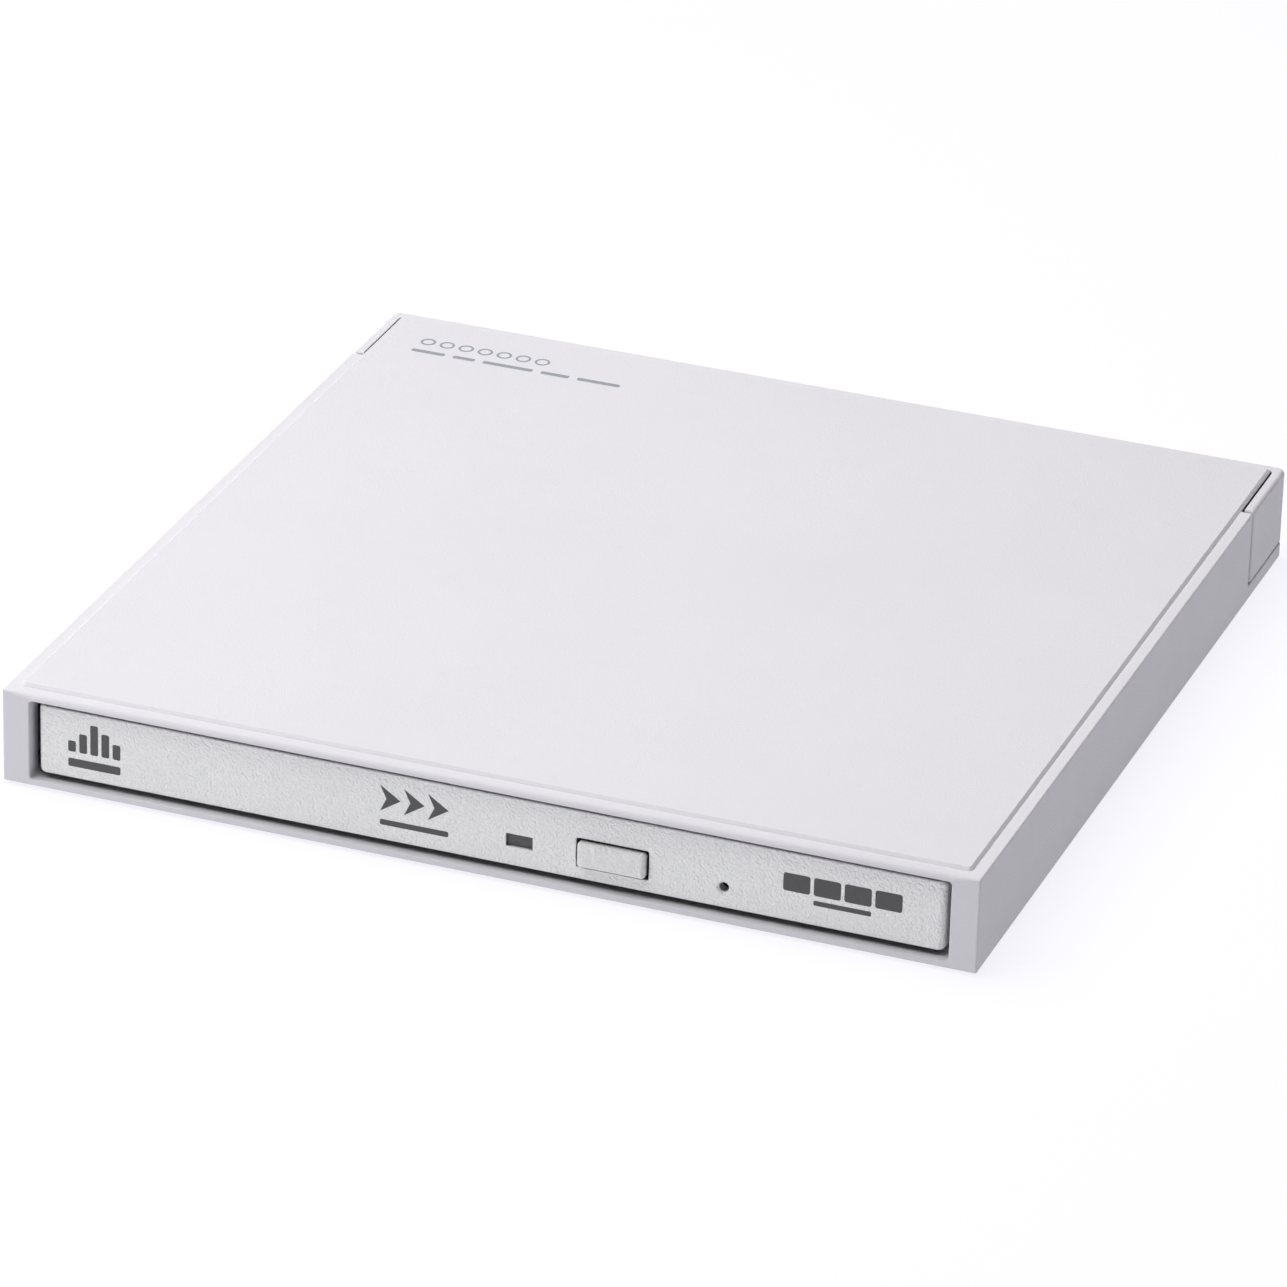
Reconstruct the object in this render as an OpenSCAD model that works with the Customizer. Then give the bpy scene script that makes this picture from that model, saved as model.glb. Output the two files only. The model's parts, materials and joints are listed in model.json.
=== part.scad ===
// External slim optical drive: a moulded two-part case with a rear cap, holding a 9.5 mm
// tray-loading drive. Millimetres, +Z up, the tray opens towards -Y. The origin is on the
// ground under the centre of the case.

/* [Case] */
// Width of the case
case_w = 137.5; // [136.5:0.5:150]
// Depth of the case
case_d = 137.5; // [137.5:0.5:150]
// Height of the case from its underside to the ledge round the top plate
case_h = 13.55; // [13.3:0.05:16]
// Height of the raised top plate above the ledge
plate_rise = 0.45; // [0.2:0.05:1]
// Height of the rubber feet below the case
foot_h = 0.5; // [0.3:0.1:1]
// Thickness of the side walls
wall = 1.6; // [1.2:0.1:2]
// Length of the rear cap's side returns
cap_return = 16; // [10:0.5:16]
// Height of the lip that runs under the rear cap
cap_lip = 2.2; // [1.6:0.1:3]

/* [Drive] */
// Width of the slim drive and of its bezel
drive_w = 128; // [128:0.1:128.2]
// Height of the slim drive
drive_h = 9.5; // [9.5:0.05:9.7]
// Depth of the drive behind its bezel
drive_d = 126.1; // [126:0.1:126.4]
// Height of the bezel
bezel_h = 10; // [9.8:0.1:10.2]
// Distance from the case's front plane back to the bezel's face
bezel_recess = 1; // [0.9:0.1:1.2]
// Thickness of the drive's pressed steel sheets
sheet = 0.5; // [0.4:0.05:0.5]

/* [Tray] */
// Radius of the disc recess, for a 120 mm disc
well_r = 60.6; // [60.3:0.1:60.8]
// Radius of the inner recess, for an 80 mm disc
small_well_r = 40.6; // [40.3:0.1:41]

/* [Pickup] */
// Direction in which the pickup travels away from the spindle, in degrees
pickup_angle = 225; // [225:1:226]
// Distance from the spindle to the lens with the pickup at home
lens_home = 23.5; // [23.5:0.5:25]
// Distance from the pickup's centre line to each guide rod
rod_offset = 16.5; // [16.5:0.1:16.6]
// Radius of the guide rods
rod_r = 1; // [0.8:0.1:1]
// Pitch of the lead screw
screw_pitch = 3; // [2:0.5:4]

/* [Hidden] */
$fn = 64;
gap = 0.05;             // parting gap between mouldings
cap_gap = 0.7;          // groove in front of the rear cap's returns
half_w = case_w / 2;
half_d = case_d / 2;
front_y = -half_d;
rear_y = half_d;

// Heights of the case
z_under = foot_h;
z_ledge = z_under + case_h;
z_top = z_ledge + plate_rise;
z_ceiling = z_ledge - 1.1;      // inner face of the roof and top of the front opening
z_sill = z_under + 0.85;        // foot of the front opening
z_floor = z_under + 1;          // inner face of the bottom cover
z_lip = z_under + cap_lip;

// Inside of the case
in_x = half_w - wall;
in_front = front_y + 2.9;
in_rear = rear_y - wall;
opening_x = 64.9;
cap_front = rear_y - cap_return;
plate_x = half_w - 1.75;        // sides of the top plate
cap_in_x = half_w - 1.5;        // inner face of the rear cap's returns
roof_rear = rear_y - 1.8;

// Slim drive
drive_x = drive_w / 2;
bezel_y = front_y + bezel_recess;
bezel_back = bezel_y + 3.25;
chassis_y = bezel_back + 0.1;
chassis_rear = chassis_y + drive_d;
bezel_z = (z_floor + z_ceiling - bezel_h) / 2 - 0.025;
drive_z = bezel_z + (bezel_h - drive_h) / 2;
pan_top = drive_z + 0.6;        // upper face of the pan's floor
cover_z = drive_z + drive_h - 0.55;
pan_x = drive_x - 0.6;          // outer face of the pan's side walls
pan_rear = chassis_rear - sheet;
notch_x = -32.5;                // connector bay in the rear left corner
notch_y = 49.2;
spindle = [0, -2.4, 0];

// Tray, measured from the drive's underside
tray_x = 60.2;
tray_front = chassis_y + 0.1;
tray_rear = 57.5;
tray_low = drive_z + 3.6;
tray_floor = drive_z + 4.6;
tray_high = drive_z + 8.15;
skirt_z = drive_z + 0.95;
under_z = drive_z + 0.8;        // plate that closes the tray's underside
disc_z = drive_z + 6;           // underside of a loaded disc
rail_z = drive_z + 4.15;        // middle of the slide rails
rail_y = [-62, 43];
flex_x = [-18, -4];
board_y = 27.5;                 // front edge of the drive's board

// Pickup and its lead screw, in the pickup's own frame
rod_z = drive_z + 2.55;
screw_z = drive_z + 3.4;
screw_offset = -rod_offset - 5;
screw_end = 48.8;
frame_z = drive_z + 2.05;
sled_z = [drive_z + 1.5, drive_z + 4];
rod_u = [11.5, 63.9];

// Controls on the bezel
button_x = [13.4, 22.9];
button_z = [z_under + 3.8, z_under + 7.4];
led_x = [3.2, 7];
led_z = [z_under + 4.5, z_under + 6.4];
release_x = 33.6;
release_z = z_under + 4.6;

// Latch
latch_pivot = [29, -59.5];
latch_post = [30.9, -51.2];
latch_angle = 13;
latch_z = drive_z + 2.2;
latch_reach = latch_post[1] - latch_pivot[1] + 1.4;
plunger_tip = latch_pivot[0] + 0.5;

// Bridge board and port
board_z = drive_z + 0.95;
bridge_top = board_z + 1;
port_x = -49.5;
port_w = 8.94;
port_h = 3.26;
port_z = bridge_top + port_h / 2;

// Feet and fixings
feet = [[-58.5, -60], [58.5, -60], [-58.5, 63.2], [58.5, 63.2]];
case_screw_at = [[-62, 64.1], [62, 64.1]];
bridge_screw_at = [[-57.4, 59.2], [-35, 64.4]];
cover_screw_at = [[-26, 59], [28, 59], [58, 59]];
board_screw_at = [[-22, 52], [54, 31]];
damper_at = [[-10.5, 17.5], [-12.5, -18], [40, 22.6]];
hook_y = [-45, 0, 40];
ejector = [52, 0, drive_z + 4.6];

case_grey = [0.90, 0.90, 0.92];
bezel_grey = [0.83, 0.83, 0.83];
button_grey = [0.84, 0.84, 0.84];
steel = [0.72, 0.73, 0.75];
dark_steel = [0.5, 0.5, 0.52];
black_plastic = [0.09, 0.09, 0.1];
tray_black = [0.13, 0.13, 0.14];
pom_white = [0.86, 0.85, 0.8];
board_green = [0.05, 0.3, 0.16];

// ---------------------------------------------------------------- building blocks

// Block between two corners given as ranges
module block(x, y, z)
    translate([x[0], y[0], z[0]]) cube([x[1] - x[0], y[1] - y[0], z[1] - z[0]]);

// The same block on both sides of the X = 0 plane
module block_pair(x, y, z) {
    block(x, y, z);
    mirror([1, 0, 0]) block(x, y, z);
}

// Upright cylinder over a height range
module post(r, z, at = [0, 0])
    translate([at[0], at[1], z[0]]) cylinder(r = r, h = z[1] - z[0]);

// Upright tube over a height range
module tube(r_out, r_in, z, at = [0, 0])
    difference() {
        post(r_out, z, at);
        post(r_in, [z[0] - 1, z[1] + 1], at);
    }

// Raise a flat outline over a height range
module slab(z)
    translate([0, 0, z[0]]) linear_extrude(z[1] - z[0]) children();

// Flat rectangle with its own corner radius at the front and at the rear
module plan(x, y, r_front, r_rear) {
    translate([x[0], y[0] + r_front]) square([x[1] - x[0], y[1] - y[0] - r_front - r_rear]);
    translate([x[0] + r_front, y[0]]) square([x[1] - x[0] - 2 * r_front, r_front + 0.01]);
    translate([x[0] + r_rear, y[1] - r_rear - 0.01]) square([x[1] - x[0] - 2 * r_rear, r_rear + 0.01]);
    for (cx = [x[0] + r_front, x[1] - r_front]) translate([cx, y[0] + r_front]) circle(r_front);
    for (cx = [x[0] + r_rear, x[1] - r_rear]) translate([cx, y[1] - r_rear]) circle(r_rear);
}

// Block along Y whose front outline has round corners
module front_block(x, y, z, r)
    translate([0, y[1], 0]) rotate([90, 0, 0])
        linear_extrude(y[1] - y[0]) plan(x, z, r, r);

// Flat pill shape along X
module pill(length, width) {
    square([length - width, width], center = true);
    for (s = [-1, 1]) translate([s * (length - width) / 2, 0]) circle(width / 2);
}

// Place a child at each point of a list
module at_each(points)
    for (p = points) translate([p[0], p[1], 0]) children();

// The pickup's own frame: +X along its travel, origin on the spindle axis
module pickup_frame()
    translate(spindle) rotate(pickup_angle) children();

// Screw standing on its head at z, threaded end up
module screw_up(z, length, head_r, head_h, shank_r) {
    difference() {
        post(head_r, [z, z + head_h]);
        cross_recess(z - 0.01, 0.25);
    }
    post(shank_r, [z + head_h - 0.01, z + head_h + length]);
}

// Screw hanging from its head, whose underside is at z
module screw_down(z, length, head_r, head_h, shank_r) {
    difference() {
        post(head_r, [z, z + head_h]);
        cross_recess(z + head_h - 0.24, 0.25);
    }
    post(shank_r, [z - length, z + 0.01]);
}

// Cross recess of a small screw
module cross_recess(z, depth)
    for (turn = [0, 90]) rotate(turn) block([-0.85, 0.85], [-0.17, 0.17], [z, z + depth]);

// ---------------------------------------------------------------- case

module upper_shell() color(case_grey) {
    difference() {
        union() {
            slab([z_under, z_ledge]) plan([-half_w, half_w], [front_y, rear_y], 0.2, 1);
            slab([z_ledge - 0.1, z_top]) top_plate();
        }
        block([-in_x, in_x], [in_front, in_rear], [z_under - 1, z_ceiling]);
        front_block([-opening_x, opening_x], [front_y - 1, in_front + 1], [z_sill, z_ceiling], 0.5);
        rear_cap_space();
        front_roundover();
        for (y = hook_y) block_pair([in_x - 1, in_x + 0.45], [y - 2.7, y + 2.7],
                                    [z_under + 3.3, z_under + 4.6]);
    }
    at_each(case_screw_at) shell_boss();
}

// Raised plate on the roof
module top_plate()
    plan([-plate_x, plate_x], [front_y + 1.9, roof_rear], 0.8, 0.8);

// Room for the rear cap: everything above the lip, behind and beside the roof
module rear_cap_space()
    difference() {
        block([-half_w - 1, half_w + 1], [cap_front - cap_gap, rear_y + 1], [z_lip, z_top + 1]);
        slab([z_under, z_top + 2]) plan([-plate_x, plate_x], [0, roof_rear], 0.8, 0.8);
    }

// Round upper edge of the front opening
module front_roundover() {
    r = z_ledge - z_ceiling;
    difference() {
        block([-opening_x, opening_x], [front_y - 1, front_y + r], [z_ceiling - 0.01, z_ledge + 1]);
        translate([-half_w, front_y + r, z_ceiling]) rotate([0, 90, 0]) cylinder(r = r, h = case_w);
    }
}

// Screw boss that hangs from the roof
module shell_boss() tube(2.2, 0.95, [z_under + 2.2, z_ceiling + 0.01]);

module rear_cap() color(case_grey) difference() {
    union() {
        difference() {
            slab([z_lip + gap, z_ledge])
                plan([-half_w, half_w], [cap_front, rear_y], 0.2, 1.2);
            slab([z_under, z_top]) plan([-cap_in_x, cap_in_x], [cap_front - 1, rear_y - 1.5], 0.2, 1);
        }
        block_pair([in_x - 1.1, cap_in_x + 0.1], [cap_front, rear_y - 1.5], cap_flange_z());
        block([-in_x, in_x], [rear_y - 2.35, rear_y - 1.4], cap_flange_z());
    }
    port_pill(0.18, [rear_y - 3, rear_y + 1]);
    port_pill(1, [rear_y - 0.3, rear_y + 1]);
}

// Height range of the cap's inner flange, which sits under the roof
function cap_flange_z() = [z_ceiling - 1.35, z_ceiling - gap];

// Pill shape on the port's centre line, wider than the port by margin all round
module port_pill(margin, y)
    translate([port_x, y[0], port_z]) rotate([-90, 0, 0])
        linear_extrude(y[1] - y[0]) pill(port_w + 2 * margin, port_h + 2 * margin);

module bottom_cover() color(case_grey) difference() {
    union() {
        slab([z_under, z_floor])
            plan([-in_x + 0.1, in_x - 0.1], [in_front + 0.1, in_rear - 0.1], 0.4, 0.4);
        block_pair([39, 41], [-60, 46], [z_floor - 0.1, drive_z - gap]);
        at_each(case_screw_at) post(2.8, [z_floor - 0.1, z_under + 2.2 - gap]);
        at_each(bridge_screw_at) post(2, [z_floor - 0.1, board_z]);
        for (y = hook_y) cover_hook(y);
    }
    at_each(feet) slab([z_under - 1, z_under + 0.5]) pill(14.2, 7.2);
    at_each(case_screw_at) post(1, [z_under, z_floor + 2]);
    at_each(case_screw_at) post(1.95, [z_under, z_under + 1.35]);
    at_each(bridge_screw_at) post(0.8, [z_floor, board_z + 1]);
}

// Snap hooks that hold the cover to the side walls
module cover_hook(y) {
    block_pair([in_x - 1.15, in_x - 0.2], [y - 2.4, y + 2.4], [z_floor - 0.1, z_under + 4.7]);
    block_pair([in_x - 0.3, in_x + 0.3], [y - 2.4, y + 2.4], [z_under + 3.5, z_under + 4.4]);
}

module foot(number) color([0.2, 0.2, 0.21])
    translate(feet[number]) slab([0, z_under + 0.5]) pill(14, 7);

module foot_front_left() foot(0);
module foot_front_right() foot(1);
module foot_rear_left() foot(2);
module foot_rear_right() foot(3);

module case_screws() color(steel)
    at_each(case_screw_at) screw_up(z_under + 0.52, 7, 1.8, 0.83, 0.9);

module damping_pads() color([0.16, 0.16, 0.17])
    for (x = [-45, 45], y = [-45, 35])
        block([x - 10, x + 10], [y - 4, y + 4], [drive_z + drive_h, z_ceiling]);

// ---------------------------------------------------------------- bridge board and port

module bridge_board() color(board_green) difference() {
    block([-59.6, -33.2], [50.2, 66.8], [board_z, bridge_top]);
    at_each(bridge_screw_at) post(0.95, [board_z - 1, bridge_top + 1]);
    post(2.5, [board_z - 1, bridge_top + 1], case_screw_at[0]);
}

module bridge_chip() color(black_plastic)
    block([-41, -36], [58.2, 63.2], [bridge_top, bridge_top + 0.9]);

module bridge_screws() color(steel)
    at_each(bridge_screw_at) screw_down(bridge_top, 2, 1.5, 0.7, 0.75);

module usb_shell() color(steel) difference() {
    port_pill(0, [rear_y - 7.85, rear_y - 0.5]);
    port_pill(-0.3, [rear_y - 6.85, rear_y]);
}

module usb_tongue() color(black_plastic) {
    port_pill(-0.32, [rear_y - 6.83, rear_y - 5.9]);
    block([port_x - 3.35, port_x + 3.35], [rear_y - 6, rear_y - 1.1],
          [port_z - 0.35, port_z + 0.35]);
}

module sata_socket() color(black_plastic) {
    block([-59.2, -33.6], [notch_y + 1.1, notch_y + 7.2], [bridge_top, bridge_top + 3.6]);
    block([-57.8, -35], [notch_y - 3.2, notch_y + 1.2], [bridge_top + 0.9, bridge_top + 2.7]);
}

// ---------------------------------------------------------------- drive chassis

// Plan of the drive with its connector bay cut away
module chassis_plan(x, rear, inset)
    difference() {
        translate([-x, chassis_y]) square([2 * x, rear - chassis_y]);
        translate([-x - 1, notch_y - inset]) square([x + 1 + notch_x + inset, rear]);
    }

module drive_pan() color(steel) difference() {
    union() {
        difference() {
            slab([drive_z, cover_z - gap]) chassis_plan(pan_x, pan_rear, 0);
            slab([pan_top, cover_z + 1]) pan_inside();
        }
        at_each(cover_screw_at) post(1.3, [pan_top - 0.1, cover_z - gap]);
        at_each(board_screw_at) post(2, [pan_top - 0.1, board_z + 0.1]);
        post(1.2, [pan_top - 0.1, drive_z + 3.35], latch_post);
    }
    block([-60.2, -32.8], [notch_y - 2, notch_y + 1], [pan_top + 0.45, bridge_top + 4]);
    at_each(cover_screw_at) post(0.75, [drive_z + 2, cover_z + 1]);
    at_each(board_screw_at) post(0.7, [pan_top - 0.3, board_z + 1]);
    for (x = [-44, -28, -12, 12]) block([x, x + 9], [-40, -38.6], [drive_z - 1, pan_top + 1]);
    for (x = [8, 30]) slab([drive_z - 1, pan_top + 1]) translate([x, 8]) pill(14, 6);
}

// Inside of the pan, open at the front
module pan_inside()
    difference() {
        translate([-pan_x + sheet, chassis_y - 1])
            square([2 * (pan_x - sheet), pan_rear - sheet - chassis_y + 1]);
        translate([-pan_x - 1, notch_y - sheet]) square([pan_x + 1 + notch_x + sheet, 20]);
    }

module drive_cover() color(steel) difference() {
    union() {
        slab([cover_z, drive_z + drive_h]) chassis_plan(drive_x, chassis_rear, 0);
        block_pair([drive_x - sheet, drive_x], [chassis_y, notch_y], cover_flange_z());
        block([notch_x + 0.6, drive_x], [chassis_rear - 0.45, chassis_rear], cover_flange_z());
    }
    at_each(cover_screw_at) post(0.85, [cover_z - 1, drive_z + drive_h + 1]);
}

// Height range of the cover's turned-down edges
function cover_flange_z() = [drive_z + 5.5, cover_z + 0.1];

module cover_screws() color(dark_steel)
    at_each(cover_screw_at) screw_down(drive_z + drive_h, 3, 1.4, 0.5, 0.7);

module rail_guide(side) color(pom_white) scale_side(side) {
    block([pan_x - 1, pan_x - sheet], [rail_y[0], rail_y[1] + 1], [rail_z - 1.9, rail_z + 1.9]);
    for (z = [rail_z - 1.9, rail_z + 1.4])
        block([pan_x - 2.2, pan_x - sheet], [rail_y[0], rail_y[1] + 1], [z, z + 0.5]);
    block([pan_x - 2.2, pan_x - sheet], [rail_y[1] + 0.2, rail_y[1] + 1],
          [rail_z - 1.9, rail_z + 1.9]);
}

// Mirror children to the left side when side is -1
module scale_side(side)
    if (side < 0) mirror([1, 0, 0]) children();
    else children();

module rail_guide_left() rail_guide(-1);
module rail_guide_right() rail_guide(1);

// Steel rail: a channel that opens towards the tray
module slide_rail(side) color(dark_steel) scale_side(side) difference() {
    block([pan_x - 3, pan_x - 1.1], rail_y, [rail_z - 1.3, rail_z + 1.3]);
    block([pan_x - 4, pan_x - 1.4], [rail_y[0] - 1, rail_y[1] + 1], [rail_z - 1, rail_z + 1]);
}

module slide_rail_left() slide_rail(-1);
module slide_rail_right() slide_rail(1);

module drive_board() color(board_green) difference() {
    slab([board_z + 0.1, board_z + 0.9]) difference() {
        translate([-60, board_y]) square([120, pan_rear - sheet - 0.3 - board_y]);
        translate([-61, notch_y - sheet - 0.2]) square([61 + notch_x + sheet + 0.4, 20]);
        at_each(cover_screw_at) circle(1.6);
        at_each(board_screw_at) circle(0.95);
    }
}

// Black chip on the drive's board
module chip(x, y, w, d, h) color(black_plastic)
    block([x, x + w], [y, y + d], [board_z + 0.9, board_z + 0.9 + h]);

module controller_chip() chip(4, 34, 14, 14, 1.2);
module motor_driver_chip() chip(30, 32, 8, 8, 1);
module flash_chip() chip(26, 46, 6, 5, 1);

module flex_connector() color(pom_white) difference() {
    block([-20, -2], [board_y + 0.6, board_y + 4.4], [board_z + 0.9, board_z + 2.1]);
    block([-18.4, -3.6], [board_y, board_y + 3], [board_z + 1.3, board_z + 1.7]);
}

module sata_plug() color(black_plastic) difference() {
    block([-59.8, -33.2], [notch_y - 5.6, notch_y + 0.9], [board_z + 0.9, bridge_top + 3.7]);
    block([-58, -34.8], [notch_y - 3.5, notch_y + 2], [bridge_top + 0.7, bridge_top + 2.9]);
}

module board_screws() color(steel)
    at_each(board_screw_at) screw_down(board_z + 0.9, 0.8, 1.5, 0.6, 0.65);

// Flat cable from the drive's board to the underside of the tray
module flex_cable() color([0.85, 0.85, 0.82]) {
    block(flex_x, [-16, board_y - 0.1], [pan_top + 0.02, pan_top + 0.15]);
    block(flex_x, [board_y - 0.3, board_y - 0.1], [pan_top + 0.02, board_z + 1.55]);
    block(flex_x, [board_y - 0.3, board_y + 2.9], [board_z + 1.42, board_z + 1.55]);
}

// Rod and head that the ejector spring drives against the tray
module ejector_pusher() color(pom_white) along_y(ejector) {
    post(1.9, [50.4, 51.7]);
    post(0.75, [51.6, 58]);
}

module ejector_spring() color(steel) along_y(ejector) tube(1.4, 0.95, [51.75, pan_rear - sheet - gap]);

// Turn an upright shape so that its height runs along +Y
module along_y(at)
    translate([at[0], 0, at[2]]) rotate([-90, 0, 0]) children();

// ---------------------------------------------------------------- tray

module tray() color(tray_black) difference() {
    union() {
        slab([tray_low, tray_high]) tray_plan();
        block_pair([tray_x - 1, pan_x - 1.55], rail_y, [rail_z - 0.85, rail_z + 0.85]);
        tray_skirt();
        post(0.9, [latch_z - 0.6, tray_low + 0.1], latch_pivot);
        for (p = damper_at) pickup_frame() post(2, [frame_z + 1, tray_floor - 0.2], p);
    }
    post(well_r, [tray_floor, tray_high + 1], spindle);
    tube(small_well_r, 30, [tray_floor - 0.3, tray_floor + 1], spindle);
    slab([tray_low - 1, tray_high + 1]) traverse_opening();
    block([0.4, 26.6], [tray_front - 1, tray_front + 5.4], [skirt_z - 1, tray_floor - 0.35]);
    block([ejector[0] - 3.4, ejector[0] + 3.4], [50.2, 70], [tray_low - 1, tray_high + 1]);
    for (x = [-48, 48])
        block([x - 4.2, x + 4.2], [tray_front - 1, tray_front + 3], tongue_slot_z(0.1));
    translate([release_x, tray_front - 1, release_z]) rotate([-90, 0, 0]) cylinder(r = 1.1, h = 3);
    for (p = damper_at) pickup_frame() post(0.8, [frame_z, tray_floor - 0.4], p);
}

// Outline of the tray, cut back in the rear left corner for the connector
module tray_plan()
    difference() {
        translate([-tray_x, tray_front]) square([2 * tray_x, tray_rear - tray_front]);
        translate([-tray_x - 1, notch_y - 5.9]) square([tray_x + notch_x + 4, 40]);
    }

// Stiffening skirt under the tray's edges
module tray_skirt() {
    block_pair([tray_x - 1.3, tray_x - 0.3], [tray_front, 18], [skirt_z, tray_low + 0.1]);
    block([0, tray_x - 0.3], [tray_front, tray_front + 1.1], [skirt_z, tray_low + 0.1]);
    block([-tray_x + 0.3, 0], [tray_front, tray_front + 1.1], [skirt_z, tray_low + 0.1]);
}

// Opening in the tray's floor for the spindle motor, the pickup and its lead screw
module traverse_opening()
    difference() {
        intersection() {
            translate(spindle) rotate(pickup_angle) translate([-14.6, screw_offset - 3.1])
                square([80.6, 20 - screw_offset + 3.1]);
            translate([-tray_x + 1.3, tray_front + 1.3]) square([2 * tray_x - 2.6, 100]);
        }
        for (p = damper_at) translate(spindle) rotate(pickup_angle) translate(p) circle(3.4);
    }

// Height range of the bezel's tongues, widened by margin
function tongue_slot_z(margin) = [tray_floor + 0.95 - margin, tray_floor + 1.95 + margin];

module bezel() color(bezel_grey) difference() {
    union() {
        difference() {
            front_block([-drive_x, drive_x], [bezel_y, bezel_back], [bezel_z, bezel_z + bezel_h], 0.6);
            block([-drive_x + 1.4, drive_x - 1.4], [bezel_y + 1.7, bezel_back + 1],
                  [bezel_z + 1.2, bezel_z + bezel_h - 1.2]);
        }
        for (x = [-48, 48])
            block([x - 4, x + 4], [bezel_y + 1.6, tray_front + 2.8], tongue_slot_z(0));
    }
    block([button_x[0] - 0.3, button_x[1] + 0.3], [bezel_y - 1, bezel_y + 2],
          [button_z[0] - 0.3, button_z[1] + 0.3]);
    block(led_x, [bezel_y - 1, bezel_y + 2], led_z);
    translate([release_x, bezel_y - 0.01, release_z]) rotate([-90, 0, 0]) {
        cylinder(r = 0.68, h = 3);
        cylinder(r1 = 1, r2 = 0.68, h = 0.35);
    }
}

module led_window() color([0.4, 0.4, 0.42]) {
    block([led_x[0] + 0.03, led_x[1] - 0.03], [bezel_y + 0.4, bezel_y + 3.4],
          [led_z[0] + 0.03, led_z[1] - 0.03]);
    block([led_x[0] - 0.7, led_x[1] + 0.7], [bezel_y + 1.75, bezel_y + 2.5],
          [led_z[0] - 0.4, led_z[1] + 0.4]);
}

module tray_board() color(board_green) {
    block([1, 26], [tray_front + 0.5, tray_front + 5.2], [board_z + 0.3, board_z + 0.9]);
    block([3.9, 6.3], [tray_front + 1, tray_front + 2.8], [board_z + 0.85, board_z + 2.6]);
}

module eject_switch() color(black_plastic) difference() {
    block([15.5, 20.8], [-62.7, -60.3], [board_z + 0.9, board_z + 3.1]);
    block([17.1, 19.2], [-64, -61.6], [board_z + 1.4, board_z + 2.7]);
}

module switch_plunger() color([0.55, 0.2, 0.15])
    block([17.25, 19.05], [-63.3, -62.3], [board_z + 1.5, board_z + 2.6]);

module eject_button() color(button_grey) {
    block(button_x, [bezel_y - 0.9, bezel_y + 1.9], button_z);
    for (x = [button_x[0] - 1.1, button_x[1] - 0.1])
        block([x, x + 1.2], [bezel_y + 1.75, bezel_y + 2.5], [button_z[0] + 0.6, button_z[1] - 0.6]);
    block([button_x[0], button_x[1]], [bezel_y + 1.75, bezel_y + 2.5], button_z);
    block([17.4, 18.9], [bezel_y + 2.4, -63.35], [board_z + 1.6, board_z + 2.5]);
}

// ---------------------------------------------------------------- traverse unit

module under_plate() color(steel)
    slab([under_z, under_z + 0.3]) intersection() {
        translate(spindle) rotate(pickup_angle) translate([-16, screw_offset - 3.5])
            square([84, 24 - screw_offset + 3.5]);
        translate([-tray_x + 1.6, tray_front + 1.3]) square([tray_x - 1.6 + 26, 100]);
    }

module traverse_frame() color(dark_steel) pickup_frame() difference() {
    union() {
        slab([frame_z, frame_z + 0.6]) frame_plan();
        for (v = [-rod_offset, rod_offset], u = [rod_u[0], rod_u[1] - 1.5])
            block([u, u + 1.5], [v - 1.8, v + 1.8], [rod_z - 1.25, rod_z + 1.05]);
        block([screw_end, screw_end + 0.9], [screw_offset - 2.2, screw_offset + 2.2],
              [frame_z, screw_z + 2.1]);
    }
    for (v = [-rod_offset, rod_offset]) along_x([0, v, rod_z]) post(rod_r, [0, 70]);
    along_x([0, screw_offset, screw_z]) post(0.55, [screw_end - 1, screw_end + 2]);
    for (p = damper_at) post(1.9, [frame_z - 1, frame_z + 2], p);
}

// Flat outline of the frame: a ring round the pickup's travel, with ears for the dampers
module frame_plan()
    difference() {
        union() {
            translate([-14, -20]) square([screw_end + 14.9, 40]);
            translate([screw_end, -19.2]) square([rod_u[1] - screw_end, 38.4]);
            translate([7, screw_offset - 2.2]) square([screw_end - 6.1, 6]);
            for (p = damper_at) translate(p) circle(3.2);
        }
        circle(12.6);
        translate([rod_u[0] + 2.4, -19.2]) square([screw_end - rod_u[0] - 2.4, 38.4]);
        translate([screw_end - 1, -18.25]) square([rod_u[1] - screw_end - 0.7, 36.5]);
        translate([9, screw_offset - 1.3]) square([screw_end - 9, -19.1 - screw_offset + 1.4]);
    }

// Turn an upright shape so that its height runs along +X
module along_x(at)
    translate(at) rotate([0, 90, 0]) children();

module traverse_cover() color(steel)
    slab([tray_floor - 0.4, tray_floor]) difference() {
        intersection() {
            translate(spindle) rotate(pickup_angle) translate([8, -19])
                square([57.8, 38.8]);
            translate([-tray_x + 1.5, tray_front + 1.4]) square([2 * tray_x, 100]);
        }
        translate(spindle) circle(15);
        translate(spindle) rotate(pickup_angle) translate([10, -6]) square([51.8, 12]);
        for (p = damper_at) translate(spindle) rotate(pickup_angle) translate(p) circle(3.5);
    }

module dampers() color([0.12, 0.12, 0.13]) pickup_frame() at_each(damper_at)
    difference() {
        union() {
            post(2.6, [frame_z - 0.45, frame_z - 0.01]);
            post(1.88, [frame_z - 0.05, frame_z + 0.65]);
            post(2.6, [frame_z + 0.61, frame_z + 0.98]);
        }
        post(0.85, [frame_z - 1, frame_z + 2]);
    }

module traverse_screws() color(steel) pickup_frame() at_each(damper_at)
    screw_up(frame_z - 0.9, 2.5, 1.7, 0.44, 0.78);

module guide_rod(v) color(steel) pickup_frame()
    along_x([0, v, rod_z]) post(rod_r, rod_u);

module guide_rod_a() guide_rod(-rod_offset);
module guide_rod_b() guide_rod(rod_offset);

module stepper_motor() color(steel) pickup_frame() along_x([0, screw_offset, screw_z]) {
    post(2.1, [screw_end + 0.95, screw_end + 9.8]);
}

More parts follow.
